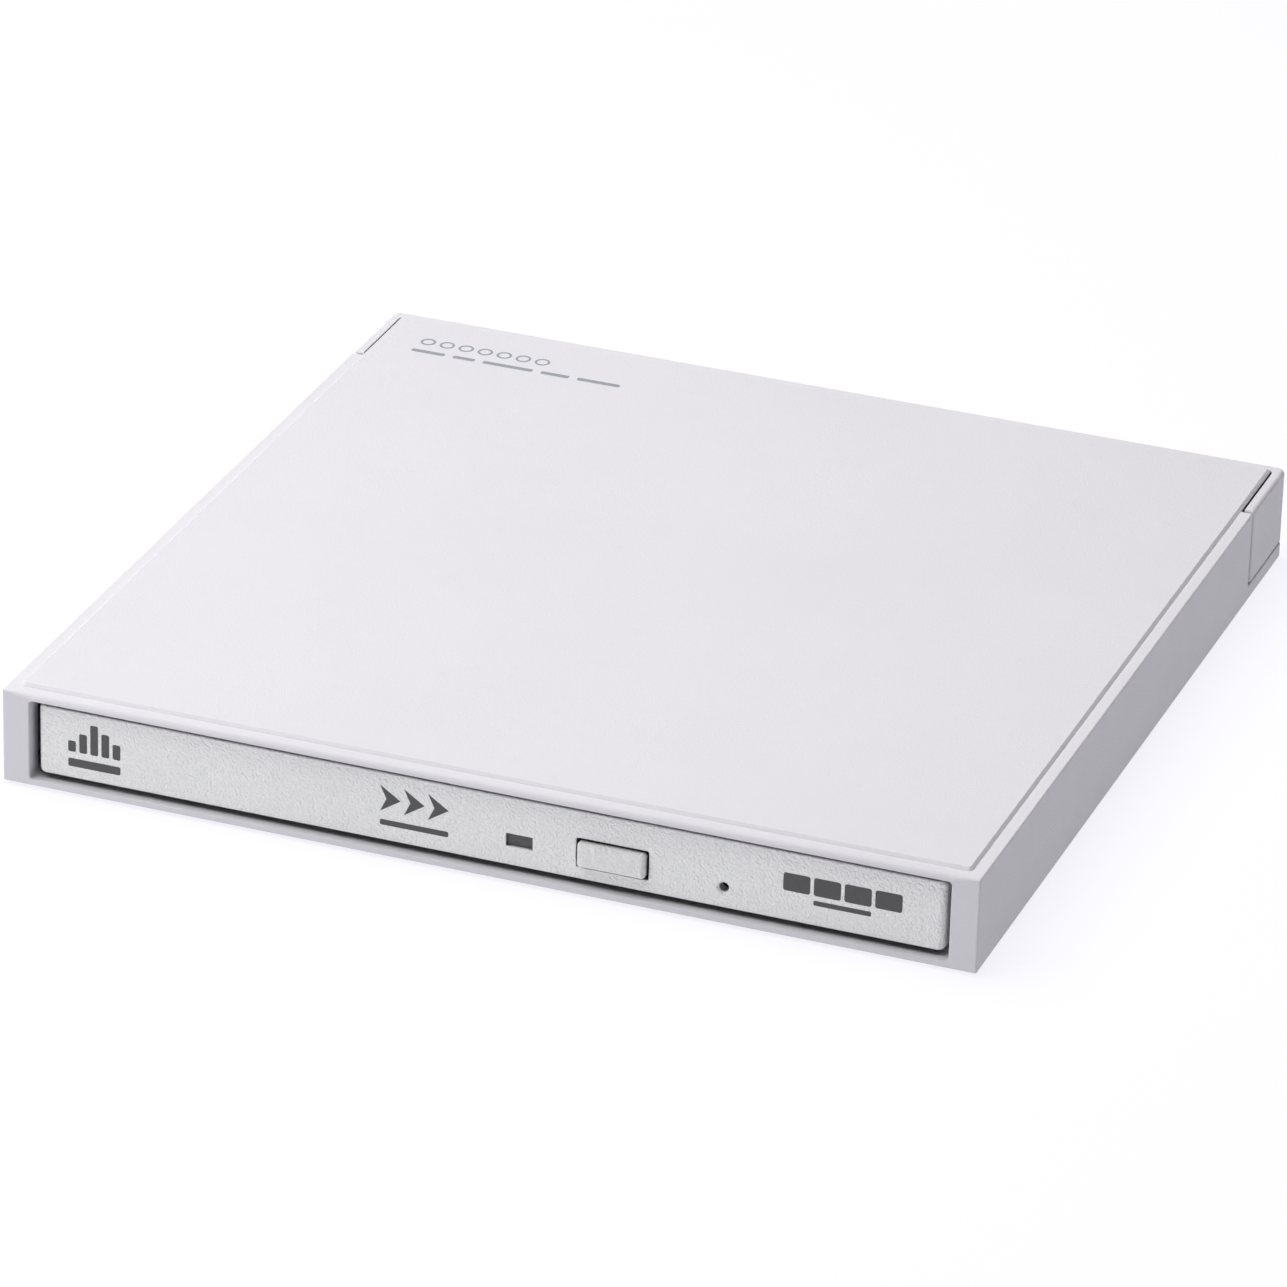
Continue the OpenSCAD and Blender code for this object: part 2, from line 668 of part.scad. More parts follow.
// Lead screw with its journal and a grooved thread
module lead_screw() color(steel) pickup_frame() along_x([0, screw_offset, screw_z])
    rotate_extrude() polygon(concat(
        [[0, 10.2], [0.7, 10.2]],
        [for (z = [10.5 : screw_pitch / 4 : screw_end - 1.2], k = [0, 1])
            [k == 0 ? 1 : 0.75, z + k * screw_pitch / 8]],
        [[0.7, screw_end - 0.6], [0.5, screw_end - 0.6], [0.5, screw_end + 0.85],
         [0, screw_end + 0.85]]));

module motor_base() color(steel) translate(spindle) difference() {
    union() {
        post(12.8, [drive_z + 1.2, drive_z + 1.65]);
        for (a = [60, 180, 300]) rotate(a) motor_ear();
        post(2.2, [drive_z + 1.6, drive_z + 3.8]);
    }
    post(1.04, [drive_z + 1.6, drive_z + 5]);
}

// Ear that carries the motor on the frame
module motor_ear() {
    block([11.8, 14.6], [-2, 2], [drive_z + 1.2, drive_z + 1.65]);
    block([13.1, 14.6], [-2, 2], [drive_z + 1.6, frame_z]);
}

// Stator: a ring of nine wound teeth round the bearing sleeve
module motor_stator() color([0.72, 0.4, 0.2]) translate(spindle) {
    tube(4.6, 2.25, [drive_z + 2.05, drive_z + 3.4]);
    for (i = [0 : 8]) rotate(i * 40) {
        block([4.4, 9], [-0.6, 0.6], [drive_z + 2.2, drive_z + 3.2]);
        block([5.2, 8.4], [-1.15, 1.15], [drive_z + 1.95, drive_z + 3.45]);
    }
}

module spindle_rotor() color(steel) translate(spindle) {
    difference() {
        post(12, [drive_z + 1.95, drive_z + 4.45]);
        post(11.2, [drive_z + 1, drive_z + 4]);
    }
    post(1, [drive_z + 1.75, drive_z + 5.4]);
}

module turntable() color([0.14, 0.14, 0.15]) translate(spindle) difference() {
    union() {
        post(13.8, [drive_z + 4.5, disc_z - 0.15]);
        tube(13.6, 11, [disc_z - 0.2, disc_z]);
        post(7.35, [disc_z - 0.2, disc_z + 1.6]);
        translate([0, 0, disc_z + 1.59]) cylinder(r1 = 7.35, r2 = 6.2, h = 0.7);
    }
    post(1.03, [drive_z + 4, drive_z + 5.5]);
    for (i = [0 : 2]) rotate(claw_turn(i)) block([4.2, 9], [-1.3, 1.3], [disc_z - 0.1, disc_z + 1.4]);
    post(2.4, [disc_z + 0.8, disc_z + 4]);
}

// Direction of each disc claw
function claw_turn(i) = 90 + i * 120;

// Sprung claw that holds the disc's centre hole
module hub_claw(i) color(pom_white) translate(spindle) rotate(claw_turn(i)) {
    block([5, 7.3], [-1.15, 1.15], [disc_z, disc_z + 1.3]);
    translate([7.2, -1.15, disc_z + 0.65]) rotate([-90, 0, 0]) intersection() {
        cylinder(r = 0.6, h = 2.3);
        translate([0, -1, 0]) cube([1, 2, 2.3]);
    }
}

module hub_claw_1() hub_claw(0);
module hub_claw_2() hub_claw(1);
module hub_claw_3() hub_claw(2);

// Sled that carries the optics along the guide rods
module pickup_sled() color([0.6, 0.61, 0.63]) pickup_frame() difference() {
    union() {
        block([lens_home - 8, lens_home + 4], [-11, 11], sled_z);
        for (v = [-18, 10])
            block([lens_home - 7, lens_home + 4], [v, v + 8], [rod_z - 1.35, rod_z + 1.4]);
        block([lens_home - 12, lens_home - 5], [-18, -15], [rod_z + 1.15, rod_z + 1.45]);
        block([lens_home - 12, lens_home - 9.5], [screw_offset + 1.05, -17.9],
              [rod_z + 1.15, rod_z + 1.45]);
        block([lens_home - 12, lens_home - 9.5], [screw_offset + 1.05, screw_offset + 2.5],
              [frame_z + 0.7, rod_z + 1.45]);
    }
    for (v = [-rod_offset, rod_offset]) along_x([0, v, rod_z]) post(rod_r + 0.04, [0, 70]);
    block([lens_home - 4.6, lens_home + 4.2], [-6.2, 6.2], [drive_z + 2, sled_z[1] + 1]);
}

// Lens holder with the objective lens, hung in the sled's well
module lens_holder() color([0.2, 0.2, 0.22]) pickup_frame() {
    block([lens_home - 3.6, lens_home + 3.4], [-4.8, 4.8], [drive_z + 2.6, drive_z + 4.3]);
    translate([lens_home, 0, 0]) {
        post(2.9, [drive_z + 4.2, drive_z + 4.9]);
        translate([0, 0, drive_z + 4.89]) cylinder(r1 = 2.1, r2 = 1.3, h = 0.4);
    }
}

// ---------------------------------------------------------------- latch

// The lever rests released; it turns clockwise by latch_angle to hook behind the post
module latch_lever() color(pom_white)
    translate([latch_pivot[0], latch_pivot[1], latch_z]) rotate(latch_angle) difference() {
        union() {
            cylinder(r = 2, h = 0.8);
            translate([-1, 0, 0]) cube([1.5, 10.4, 0.8]);
            translate([0, latch_reach, 0]) cube([latch_post[0] - latch_pivot[0] + 0.6, 1.2, 0.8]);
            translate([0, -1, 0]) cube([6.4, 1.6, 0.8]);
        }
        translate([0, 0, -1]) cylinder(r = 0.96, h = 3);
    }

module latch_solenoid() color([0.75, 0.42, 0.2]) difference() {
    block([36.5, 50], [-58, -53.4], [drive_z + 1.3, drive_z + 3.55]);
    block([36, 44], [-56.4, -55], [latch_z - 0.15, latch_z + 0.95]);
}

module latch_plunger() color(steel)
    block([plunger_tip, 42], [-56.3, -55.1], [latch_z, latch_z + 0.8]);

upper_shell();
rear_cap();
bottom_cover();
foot_front_left();
foot_front_right();
foot_rear_left();
foot_rear_right();
case_screws();
damping_pads();
bridge_board();
bridge_chip();
bridge_screws();
usb_shell();
usb_tongue();
sata_socket();
drive_pan();
drive_cover();
cover_screws();
rail_guide_left();
rail_guide_right();
drive_board();
controller_chip();
motor_driver_chip();
flash_chip();
flex_connector();
sata_plug();
board_screws();
flex_cable();
ejector_pusher();
ejector_spring();
slide_rail_left();
slide_rail_right();
tray();
bezel();
led_window();
tray_board();
eject_switch();
under_plate();
traverse_frame();
traverse_cover();
dampers();
traverse_screws();
guide_rod_a();
guide_rod_b();
stepper_motor();
motor_base();
motor_stator();
latch_solenoid();
eject_button();
switch_plunger();
spindle_rotor();
turntable();
hub_claw_1();
hub_claw_2();
hub_claw_3();
pickup_sled();
lens_holder();
lead_screw();
latch_lever();
latch_plunger();
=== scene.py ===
"""Looks of a slim external optical drive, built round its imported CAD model."""
import json
import math
import random

import bmesh
import bpy
from mathutils import Matrix, Vector


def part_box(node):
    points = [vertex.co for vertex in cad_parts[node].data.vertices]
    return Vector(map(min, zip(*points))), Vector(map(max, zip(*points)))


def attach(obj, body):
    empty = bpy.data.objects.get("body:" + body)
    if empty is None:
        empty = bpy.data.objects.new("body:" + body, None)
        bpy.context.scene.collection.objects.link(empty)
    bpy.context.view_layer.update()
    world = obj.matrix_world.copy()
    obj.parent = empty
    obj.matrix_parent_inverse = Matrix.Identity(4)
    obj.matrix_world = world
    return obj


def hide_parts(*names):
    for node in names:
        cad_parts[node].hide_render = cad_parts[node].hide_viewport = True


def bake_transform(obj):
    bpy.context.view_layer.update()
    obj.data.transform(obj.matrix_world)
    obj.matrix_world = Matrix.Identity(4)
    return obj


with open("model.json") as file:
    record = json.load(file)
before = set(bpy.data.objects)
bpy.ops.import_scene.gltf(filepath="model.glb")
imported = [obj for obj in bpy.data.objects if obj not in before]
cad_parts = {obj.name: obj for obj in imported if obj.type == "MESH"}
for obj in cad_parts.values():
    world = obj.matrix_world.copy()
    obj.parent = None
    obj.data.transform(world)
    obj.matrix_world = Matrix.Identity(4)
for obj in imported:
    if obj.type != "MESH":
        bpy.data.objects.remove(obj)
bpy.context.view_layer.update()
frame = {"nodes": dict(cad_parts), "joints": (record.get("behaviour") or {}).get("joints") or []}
NODES = frame["nodes"]
JOINTS = {joint["name"]: joint for joint in frame["joints"]}
MM = 0.001
HAIR = 0.001 * MM               # keeps a tool's faces off the faces of the solid that it trims
scene = bpy.context.scene


# ---------------------------------------------------------------- camera, floor and light

def look_from(azimuth, elevation):
    """Direction from the object to a viewer, for angles in degrees. Azimuth 0 looks along +Y."""
    a, e = math.radians(azimuth), math.radians(elevation)
    return Vector((math.sin(a) * math.cos(e), -math.cos(a) * math.cos(e), math.sin(e)))


VIEW_AZIMUTH, VIEW_ELEVATION = 20.08, 26.04     # the photograph's viewpoint, in degrees
VIEW_ROLL = 1.583
VIEW_DISTANCE = 1.0619
VIEW_TARGET = Vector((-0.19, -8.0, 7.0)) * MM
FOCAL_LENGTH = 216              # of a lens over a sensor 36 mm wide


def make_camera():
    """Camera at the photograph's viewing angle."""
    back = look_from(VIEW_AZIMUTH, VIEW_ELEVATION)
    data = bpy.data.cameras.new("camera")
    data.sensor_width = 36
    data.lens = FOCAL_LENGTH
    data.clip_start = 0.05
    data.clip_end = 20
    camera = bpy.data.objects.new("camera", data)
    scene.collection.objects.link(camera)
    turn = back.to_track_quat("Z", "Y").to_matrix().to_4x4()
    turn = turn @ Matrix.Rotation(math.radians(VIEW_ROLL), 4, "Z")
    camera.matrix_world = Matrix.Translation(VIEW_TARGET + back * VIEW_DISTANCE) @ turn
    scene.camera = camera


def make_light(name, azimuth, elevation, distance, size, power):
    """Square area light that faces the origin. Angles in degrees, lengths in metres, power in watts."""
    data = bpy.data.lights.new(name, "AREA")
    data.shape = "SQUARE"
    data.size = size
    data.energy = power
    light = bpy.data.objects.new(name, data)
    scene.collection.objects.link(light)
    back = look_from(azimuth, elevation)
    light.matrix_world = (Matrix.Translation(back * distance)
                          @ back.to_track_quat("Z", "Y").to_matrix().to_4x4())


SKY_STRENGTH = 0.45             # seen only in reflections, where it gives metals something to mirror


def make_studio():
    """Soft lamps above, behind and in front, a sky for reflections, and a pale floor."""
    scene.view_settings.view_transform = "Standard"
    world = bpy.data.worlds.new("studio")
    world.use_nodes = True
    sky = world.node_tree.nodes["Background"]
    sky.inputs["Color"].default_value = (1, 1, 1, 1)
    sky.inputs["Strength"].default_value = SKY_STRENGTH
    world.cycles_visibility.diffuse = False
    scene.world = world
    make_light("key", -71, 68, 0.7, 0.7, 6.2)
    make_light("back", -170, 45, 2.5, 3.0, 21)
    make_light("front", -38, 4, 0.5, 0.2, 0.56)
    bpy.ops.mesh.primitive_plane_add(size=30)
    floor = bpy.context.object
    floor.name = "floor"
    floor.data.materials.append(floor_paint())


# ---------------------------------------------------------------- materials

WAVE_PITCH = 0.314              # metres from crest to crest of a wave texture whose scale is 1


class Finish:
    """A procedural material in the making: a Principled shader fed by noise in the piece's own space."""

    def __init__(self, name, colour, roughness, metallic=0.0):
        self.material = bpy.data.materials.new(name)
        self.material.use_nodes = True
        self.tree = self.material.node_tree
        self.shader = self.tree.nodes["Principled BSDF"]
        self.place = self.node("ShaderNodeTexCoord").outputs["Object"]
        self.colour, self.roughness = colour, roughness
        self.shader.inputs["Metallic"].default_value = metallic
        self.paint = None

    def node(self, kind, **settings):
        made = self.tree.nodes.new(kind)
        for key, value in settings.items():
            setattr(made, key, value)
        return made

    def link(self, source, target):
        self.tree.links.new(source, target)

    def noise(self, size, detail=2.0, stretch=(1, 1, 1)):
        """Noise whose blobs are about size metres across, drawn out along an axis by stretch."""
        mapping = self.node("ShaderNodeMapping")
        mapping.inputs["Scale"].default_value = [1 / s for s in stretch]
        self.link(self.place, mapping.inputs["Vector"])
        noise = self.node("ShaderNodeTexNoise")
        noise.inputs["Scale"].default_value = 1 / size
        noise.inputs["Detail"].default_value = detail
        self.link(mapping.outputs["Vector"], noise.inputs["Vector"])
        return noise.outputs["Fac"]

    def remap(self, value, low, high, source=(0.3, 0.7)):
        """Value spread from the source range over low to high."""
        spread = self.node("ShaderNodeMapRange")
        ends = {"From Min": source[0], "From Max": source[1], "To Min": low, "To Max": high}
        for name, number in ends.items():
            spread.inputs[name].default_value = number
        self.link(value, spread.inputs["Value"])
        return spread.outputs["Result"]

    def mix(self, share, first, second):
        """Colour between first and second, each a colour or a socket, by a share socket."""
        mixer = self.node("ShaderNodeMix", data_type="RGBA")
        self.link(share, mixer.inputs["Factor"])
        for socket, value in (("A", first), ("B", second)):
            target = [i for i in mixer.inputs if i.name == socket and i.type == "RGBA"][0]
            if isinstance(value, bpy.types.NodeSocket):
                self.link(value, target)
            else:
                target.default_value = (*value, 1)
        return [o for o in mixer.outputs if o.type == "RGBA"][0]

    def shade(self, factor):
        """The base colour, lighter or darker by a factor."""
        return [min(1.0, c * factor) for c in self.colour]

    def mottle(self, size, amount):
        """Broad, faint changes of colour."""
        share = self.remap(self.noise(size), 0, 1)
        self.paint = self.mix(share, self.shade(1 - amount), self.shade(1 + amount))
        return self

    def stripes(self, pitch, colour):
        """Lines of a second colour that run along Y, one each pitch."""
        wave = self.node("ShaderNodeTexWave", wave_type="BANDS", bands_direction="X")
        wave.inputs["Scale"].default_value = WAVE_PITCH / pitch
        self.link(self.place, wave.inputs["Vector"])
        self.paint = self.mix(self.remap(wave.outputs["Fac"], 0, 1, (0.45, 0.55)), self.paint, colour)
        return self

    def uneven(self, size, amount):
        """Roughness that changes over the surface."""
        low, high = self.roughness - amount, self.roughness + amount
        self.link(self.remap(self.noise(size, 4), low, high), self.shader.inputs["Roughness"])
        return self

    def grain(self, size, depth, detail=2.0, stretch=(1, 1, 1)):
        """Relief of the given depth in metres."""
        bump = self.node("ShaderNodeBump")
        bump.inputs["Strength"].default_value = 1
        bump.inputs["Distance"].default_value = depth
        self.link(self.noise(size, detail, stretch), bump.inputs["Height"])
        self.link(bump.outputs["Normal"], self.shader.inputs["Normal"])
        return self

    def wear(self, radius, factor):
        """Edges rubbed to another shade: where a rounded normal turns away from the true one."""
        rounded = self.node("ShaderNodeBevel", samples=4)
        rounded.inputs["Radius"].default_value = radius
        true = self.node("ShaderNodeNewGeometry").outputs["Normal"]
        dot = self.node("ShaderNodeVectorMath", operation="DOT_PRODUCT")
        self.link(rounded.outputs["Normal"], dot.inputs[0])
        self.link(true, dot.inputs[1])
        edge = self.remap(dot.outputs["Value"], 1, 0, (0.9, 0.995))
        patchy = self.node("ShaderNodeMath", operation="MULTIPLY")
        self.link(edge, patchy.inputs[0])
        self.link(self.remap(self.noise(0.003, 3), 0, 1), patchy.inputs[1])
        self.paint = self.mix(patchy.outputs["Value"], self.paint, self.shade(factor))
        return self

    def paint_gap_shade(self, depth, factor, closed=(0.15, 0.58)):
        """Painted shade: narrow gaps, where light does not reach, in a darker base colour.

        closed holds the openness at which the shade is full and the one at which it has gone.
        """
        # painted shade: an occlusion mask darkens the base colour inside gaps
        gap_openness = self.node("ShaderNodeAmbientOcclusion", samples=6)
        gap_openness.inputs["Distance"].default_value = depth
        share = self.remap(gap_openness.outputs["AO"], 1, 0, closed)
        self.paint = self.mix(share, self.paint, self.shade(factor))
        return self

    def done(self):
        """Finished material."""
        self.shader.inputs["Base Color"].default_value = (*self.colour, 1)
        self.shader.inputs["Roughness"].default_value = self.roughness
        if self.paint is not None:
            self.link(self.paint, self.shader.inputs["Base Color"])
        return self.material


def floor_paint():
    """Pale paper, lit a little from below so that it stays near white round the object."""
    paint = Finish("floor_paint", (0.15, 0.15, 0.15), 0.9).mottle(0.3, 0.004)
    paint.shader.inputs["Specular IOR Level"].default_value = 0
    paint.shader.inputs["Emission Color"].default_value = (0.965, 0.96, 1.02, 1)
    paint.shader.inputs["Emission Strength"].default_value = 0.885
    return paint.done()


PLASTIC_EDGE, METAL_EDGE = 0.25 * MM, 0.15 * MM      # how far in edges are rubbed
GAP_SHADE_REACH = 1.5 * MM              # widest gap that gets painted shade inside


def moulded(name, colour, roughness, grain, depth, worn):
    """Moulded plastic with a spark-eroded texture, rubbed edges and painted shade in narrow gaps."""
    plastic = Finish(name, colour, roughness).mottle(30 * MM, 0.012).uneven(4 * MM, 0.05)
    plastic.shader.inputs["Specular IOR Level"].default_value = 0.3
    # the last call paints shade into narrow gaps as a darker base colour
    return plastic.grain(grain, depth).wear(PLASTIC_EDGE, worn).paint_gap_shade(GAP_SHADE_REACH, 0.08).done()


def metal(name, colour, roughness, grain=0.4 * MM, depth=0.002 * MM, stretch=(1, 1, 1)):
    """Bare or plated metal, brushed along an axis if stretched."""
    bare = Finish(name, colour, roughness, 1.0).mottle(20 * MM, 0.03).uneven(3 * MM, 0.03)
    return bare.grain(grain, depth, 3, stretch).wear(METAL_EDGE, 1.25).done()


def printed(name, colour, grain, depth):
    """Thin matt ink that takes on the grain of what it is printed on."""
    ink = Finish(name, colour, 0.5).mottle(0.8 * MM, 0.06).uneven(0.8 * MM, 0.06)
    return ink.grain(grain, depth).done()


def glazed(name, colour, roughness):
    """Coated optical surface."""
    glass = Finish(name, colour, roughness).mottle(1 * MM, 0.2).uneven(0.6 * MM, 0.02)
    glass.shader.inputs["Coat Weight"].default_value = 1
    glass.shader.inputs["Coat Roughness"].default_value = 0.03
    return glass.grain(0.002, 0.001 * MM).done()


def ribbon_film(name, colour, traces):
    """Polyimide film over copper traces."""
    film = Finish(name, colour, 0.32).mottle(4 * MM, 0.05).stripes(0.9 * MM, traces)
    return film.uneven(2 * MM, 0.06).grain(1.0 * MM, 0.004 * MM).done()


CASE_GRAIN = 0.30 * MM
BEZEL_GRAIN = 0.36 * MM

# name, colour, roughness, size of the grain, its depth, shade of rubbed edges
PLASTICS = (
    ("case_plastic", (0.716, 0.702, 0.738), 0.55, CASE_GRAIN, 0.06 * MM, 1.03),
    ("bezel_plastic", (0.945, 0.945, 0.945), 0.5, BEZEL_GRAIN, 0.37 * MM, 1.05),
    ("button_plastic", (0.865, 0.865, 0.862), 0.45, BEZEL_GRAIN, 0.32 * MM, 1.05),
    ("light_window", (0.10, 0.10, 0.105), 0.25, 0.5 * MM, 0.004 * MM, 1.3),
    ("foot_rubber", (0.035, 0.035, 0.037), 0.8, 0.35 * MM, 0.02 * MM, 1.5),
    ("pad_foam", (0.04, 0.04, 0.042), 0.95, 0.5 * MM, 0.1 * MM, 1.3),
    ("damper_rubber", (0.03, 0.03, 0.032), 0.7, 0.3 * MM, 0.015 * MM, 1.5),
    ("board_laminate", (0.02, 0.13, 0.06), 0.35, 1.5 * MM, 0.01 * MM, 1.6),
    ("black_resin", (0.025, 0.025, 0.027), 0.5, 0.25 * MM, 0.01 * MM, 1.8),
    ("white_acetal", (0.75, 0.74, 0.69), 0.4, 0.6 * MM, 0.005 * MM, 1.1),
    ("tray_plastic", (0.028, 0.028, 0.031), 0.55, 0.4 * MM, 0.02 * MM, 1.7),
    ("hub_plastic", (0.03, 0.03, 0.033), 0.45, 0.3 * MM, 0.01 * MM, 1.7),
)

SLOTS = {row[0]: moulded(*row) for row in PLASTICS}
SLOTS.update({
    "screw_steel": metal("screw_steel", (0.52, 0.53, 0.55), 0.3),
    "port_steel": metal("port_steel", (0.6, 0.6, 0.61), 0.28, stretch=(1, 12, 1)),
    "zinc_steel": metal("zinc_steel", (0.26, 0.265, 0.28), 0.5, 1.2 * MM),
    "rail_steel": metal("rail_steel", (0.32, 0.325, 0.34), 0.45, stretch=(1, 20, 1)),
    "rod_steel": metal("rod_steel", (0.62, 0.63, 0.65), 0.15),
    "brushed_cover": metal("brushed_cover", (0.26, 0.265, 0.28), 0.48, 0.5 * MM, 0.006 * MM, (20, 1, 1)),
    "spring_steel": metal("spring_steel", (0.5, 0.5, 0.52), 0.28),
    "cast_zinc": metal("cast_zinc", (0.42, 0.43, 0.45), 0.5, 0.5 * MM, 0.02 * MM),
    "copper_coil": metal("copper_coil", (0.72, 0.32, 0.12), 0.3, 0.25 * MM, 0.03 * MM),
})
SLOTS["flex_film"] = ribbon_film("flex_film", (0.42, 0.20, 0.045), (0.62, 0.36, 0.12))
SLOTS["lens_glass"] = glazed("lens_glass", (0.05, 0.08, 0.20), 0.04)
INK = printed("bezel_ink", (0.075, 0.075, 0.075), BEZEL_GRAIN, 0.05 * MM)
PRINT = printed("plate_print", (0.27, 0.29, 0.33), CASE_GRAIN, 0.02 * MM)
GOLD = metal("contact_gold", (0.85, 0.60, 0.25), 0.25)
CERAMIC = moulded("ceramic", (0.30, 0.21, 0.13), 0.45, 0.3 * MM, 0.005 * MM, 1.3)


# ---------------------------------------------------------------- mesh tools

ARC = 6                         # steps in a quarter turn of a rounded edge
LEAST_RADIUS = 0.02 * MM


def use(piece, material):
    """Give a piece one material."""
    piece.data.materials.clear()
    piece.data.materials.append(material)


def add_piece(name, mesh, body, slot, material=None, replaces=()):
    """New piece that moves with a body and takes its finish from a slot."""
    piece = bpy.data.objects.new(name, mesh)
    scene.collection.objects.link(piece)
    use(piece, material or SLOTS[slot])
    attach(piece, body)
    if replaces:
        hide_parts(*replaces)
    return piece


def soften(piece, width, segments, flatten):
    """Round the sharp edges with modifiers, which leave the mesh itself as it is."""
    custom = piece.data.attributes.get("custom_normal")
    if custom:
        piece.data.attributes.remove(custom)
    for polygon in piece.data.polygons:
        polygon.use_smooth = True
    weld = piece.modifiers.new("weld", "WELD")
    weld.merge_threshold = 1e-6
    if flatten:
        flat = piece.modifiers.new("flat", "DECIMATE")
        flat.decimate_type = "DISSOLVE"
        flat.angle_limit = math.radians(1)
    bevel = piece.modifiers.new("bevel", "BEVEL")
    bevel.width = width
    bevel.segments = segments
    bevel.limit_method = "ANGLE"
    bevel.angle_limit = math.radians(30)
    bevel.use_clamp_overlap = False
    piece.modifiers.new("normals", "WEIGHTED_NORMAL")


def shade_smooth(piece):
    """Smooth shading that keeps flats flat and corners crisp."""
    for polygon in piece.data.polygons:
        polygon.use_smooth = True
    piece.data.set_sharp_from_angle(angle=math.radians(30))
    normals = piece.modifiers.new("normals", "WEIGHTED_NORMAL")
    normals.keep_sharp = True


def to_mesh(bm, name):
    """Mesh from a bmesh, with its faces turned outwards."""
    bmesh.ops.recalc_face_normals(bm, faces=bm.faces)
    mesh = bpy.data.meshes.new(name)
    bm.to_mesh(mesh)
    bm.free()
    return mesh


def set_rings(bm, rings):
    """Vertices at rings of points."""
    return [[bm.verts.new(p) for p in ring] for ring in rings]


def skin(bm, rings):
    """Four-sided faces from each ring of vertices to the next, all of one length."""
    for a, b in zip(rings, rings[1:]):
        for i in range(len(a)):
            j = (i + 1) % len(a)
            bm.faces.new((a[i], a[j], b[j], b[i]))


def loft(bm, rings):
    """Closed solid over rings of points, with flat ends."""
    rings = set_rings(bm, rings)
    skin(bm, rings)
    bm.faces.new(reversed(rings[0]))
    bm.faces.new(rings[-1])


def closed_loop(bm, rings):
    """Closed solid over rings of points, the last of which is skinned to the first."""
    rings = set_rings(bm, rings)
    skin(bm, rings + rings[:1])


def lofted(name, rings):
    """Mesh of one loft."""
    bm = bmesh.new()
    loft(bm, rings)
    return to_mesh(bm, name)


def prism(bm, outline, low, high, place):
    """Closed solid between two heights over a flat outline; place turns (u, v, height) into a point."""
    loft(bm, [[place(u, v, h) for u, v in outline] for h in (low, high)])


def round_box(u, v, front, rear=None, inset=0.0, steps=ARC):
    """Outline of a rectangle with round corners, drawn in by inset. Low-v corners have radius front."""
    rear = front if rear is None else rear
    outline = []
    corners = ((0, u[1], v[1], rear), (90, u[0], v[1], rear),
               (180, u[0], v[0], front), (270, u[1], v[0], front))
    for turn, cu, cv, radius in corners:
        small = max(radius - inset, LEAST_RADIUS)
        out = math.radians(turn + 45)
        mu = cu - math.copysign(inset + small, math.cos(out))
        mv = cv - math.copysign(inset + small, math.sin(out))
        for i in range(steps + 1):
            a = math.radians(turn + 90 * i / steps)
            outline.append((mu + small * math.cos(a), mv + small * math.sin(a)))
    return outline


def circle(radius, steps, u=0, v=0):
    """Points round a circle."""
    turns = (2 * math.pi * i / steps for i in range(steps))
    return [(u + radius * math.cos(a), v + radius * math.sin(a)) for a in turns]


def quarter(radius):
    """Steps round a quarter turn, as (inset, depth) from a rounded edge's sharp corner."""
    turns = (math.pi / 2 * i / ARC for i in range(ARC + 1))
    return [(radius * (1 - math.sin(a)), radius * (1 - math.cos(a))) for a in turns]


def chamfer(run, drop):
    """Steps down a sloping edge with soft shoulders, as (inset, depth)."""
    shares = ((1, 0), (0.87, 0.04), (0.75, 0.16), (0.15, 0.85), (0.04, 0.95), (0, 1))
    return [(run * a, drop * b) for a, b in shares]


def soft_block(x, y, z, front, rear, top, bottom):
    """Upright block with eased edges.

    front and rear are the radii of its upright corners, top and bottom the steps of its other edges.
    """
    rings = [[(u, v, z[0] + depth) for u, v in round_box(x, y, front, rear, inset)]
             for inset, depth in bottom]
    rings += [[(u, v, z[1] - depth) for u, v in round_box(x, y, front, rear, inset)]
              for inset, depth in reversed(top)]
    return lofted("block", rings)


def flared_plug(outline_at, radius, place):
    """Tool that rounds the rim of an opening: it widens towards the outside.

    outline_at(inset) gives the opening's outline, and place(u, v, depth) a point below the rim.
    """
    rings = [[place(u, v, -radius) for u, v in outline_at(-radius)]]
    rings += [[place(u, v, depth) for u, v in outline_at(HAIR - outset)]
              for outset, depth in quarter(radius)]
    return lofted("plug", rings)


def spin(bm, profile, place, steps=48):
    """Solid of revolution from a profile of (radius, height) points that starts and ends on the axis."""
    rings = set_rings(bm, [[place(x, y, height) for x, y in circle(radius, steps)]
                           for radius, height in profile[1:-1]])
    skin(bm, rings)
    for ring, (_, height) in ((rings[0], profile[0]), (rings[-1], profile[-1])):
        tip = bm.verts.new(place(0, 0, height))
        for i in range(steps):
            bm.faces.new((ring[i], ring[(i + 1) % steps], tip))


def tube(bm, path, radius, sides=10):
    """Round wire along a path of points."""
    path = [Vector(p) for p in path]
    rings = []
    side = None
    for i, point in enumerate(path):
        ahead = (path[min(i + 1, len(path) - 1)] - path[max(i - 1, 0)]).normalized()
        side = side or ahead.orthogonal()
        side = (side - ahead * side.dot(ahead)).normalized()
        up = ahead.cross(side)
        rings.append([point + x * side + y * up for x, y in circle(radius, sides)])
    loft(bm, rings)


def welded_copy(node):
    """Copy of a CAD node's mesh with its split corners joined."""
    bm = bmesh.new()
    bm.from_mesh(NODES[node].data)
    bmesh.ops.remove_doubles(bm, verts=bm.verts, dist=1e-6)
    return to_mesh(bm, node + "_copy")


def combine(mesh, operation, tools):
    """The mesh after one boolean operation with each tool in turn."""
    piece = bpy.data.objects.new("worked", mesh)
    scene.collection.objects.link(piece)
    helpers = []
    for tool in tools:
        helper = bpy.data.objects.new("tool", tool)
        scene.collection.objects.link(helper)
        step = piece.modifiers.new("step", "BOOLEAN")
        step.operation = operation
        step.solver = "MANIFOLD"
        step.object = helper
        helpers.append(helper)
    graph = bpy.context.evaluated_depsgraph_get()
    result = bpy.data.meshes.new_from_object(piece.evaluated_get(graph))
    for helper in (piece, *helpers):
        bpy.data.objects.remove(helper)
    return result


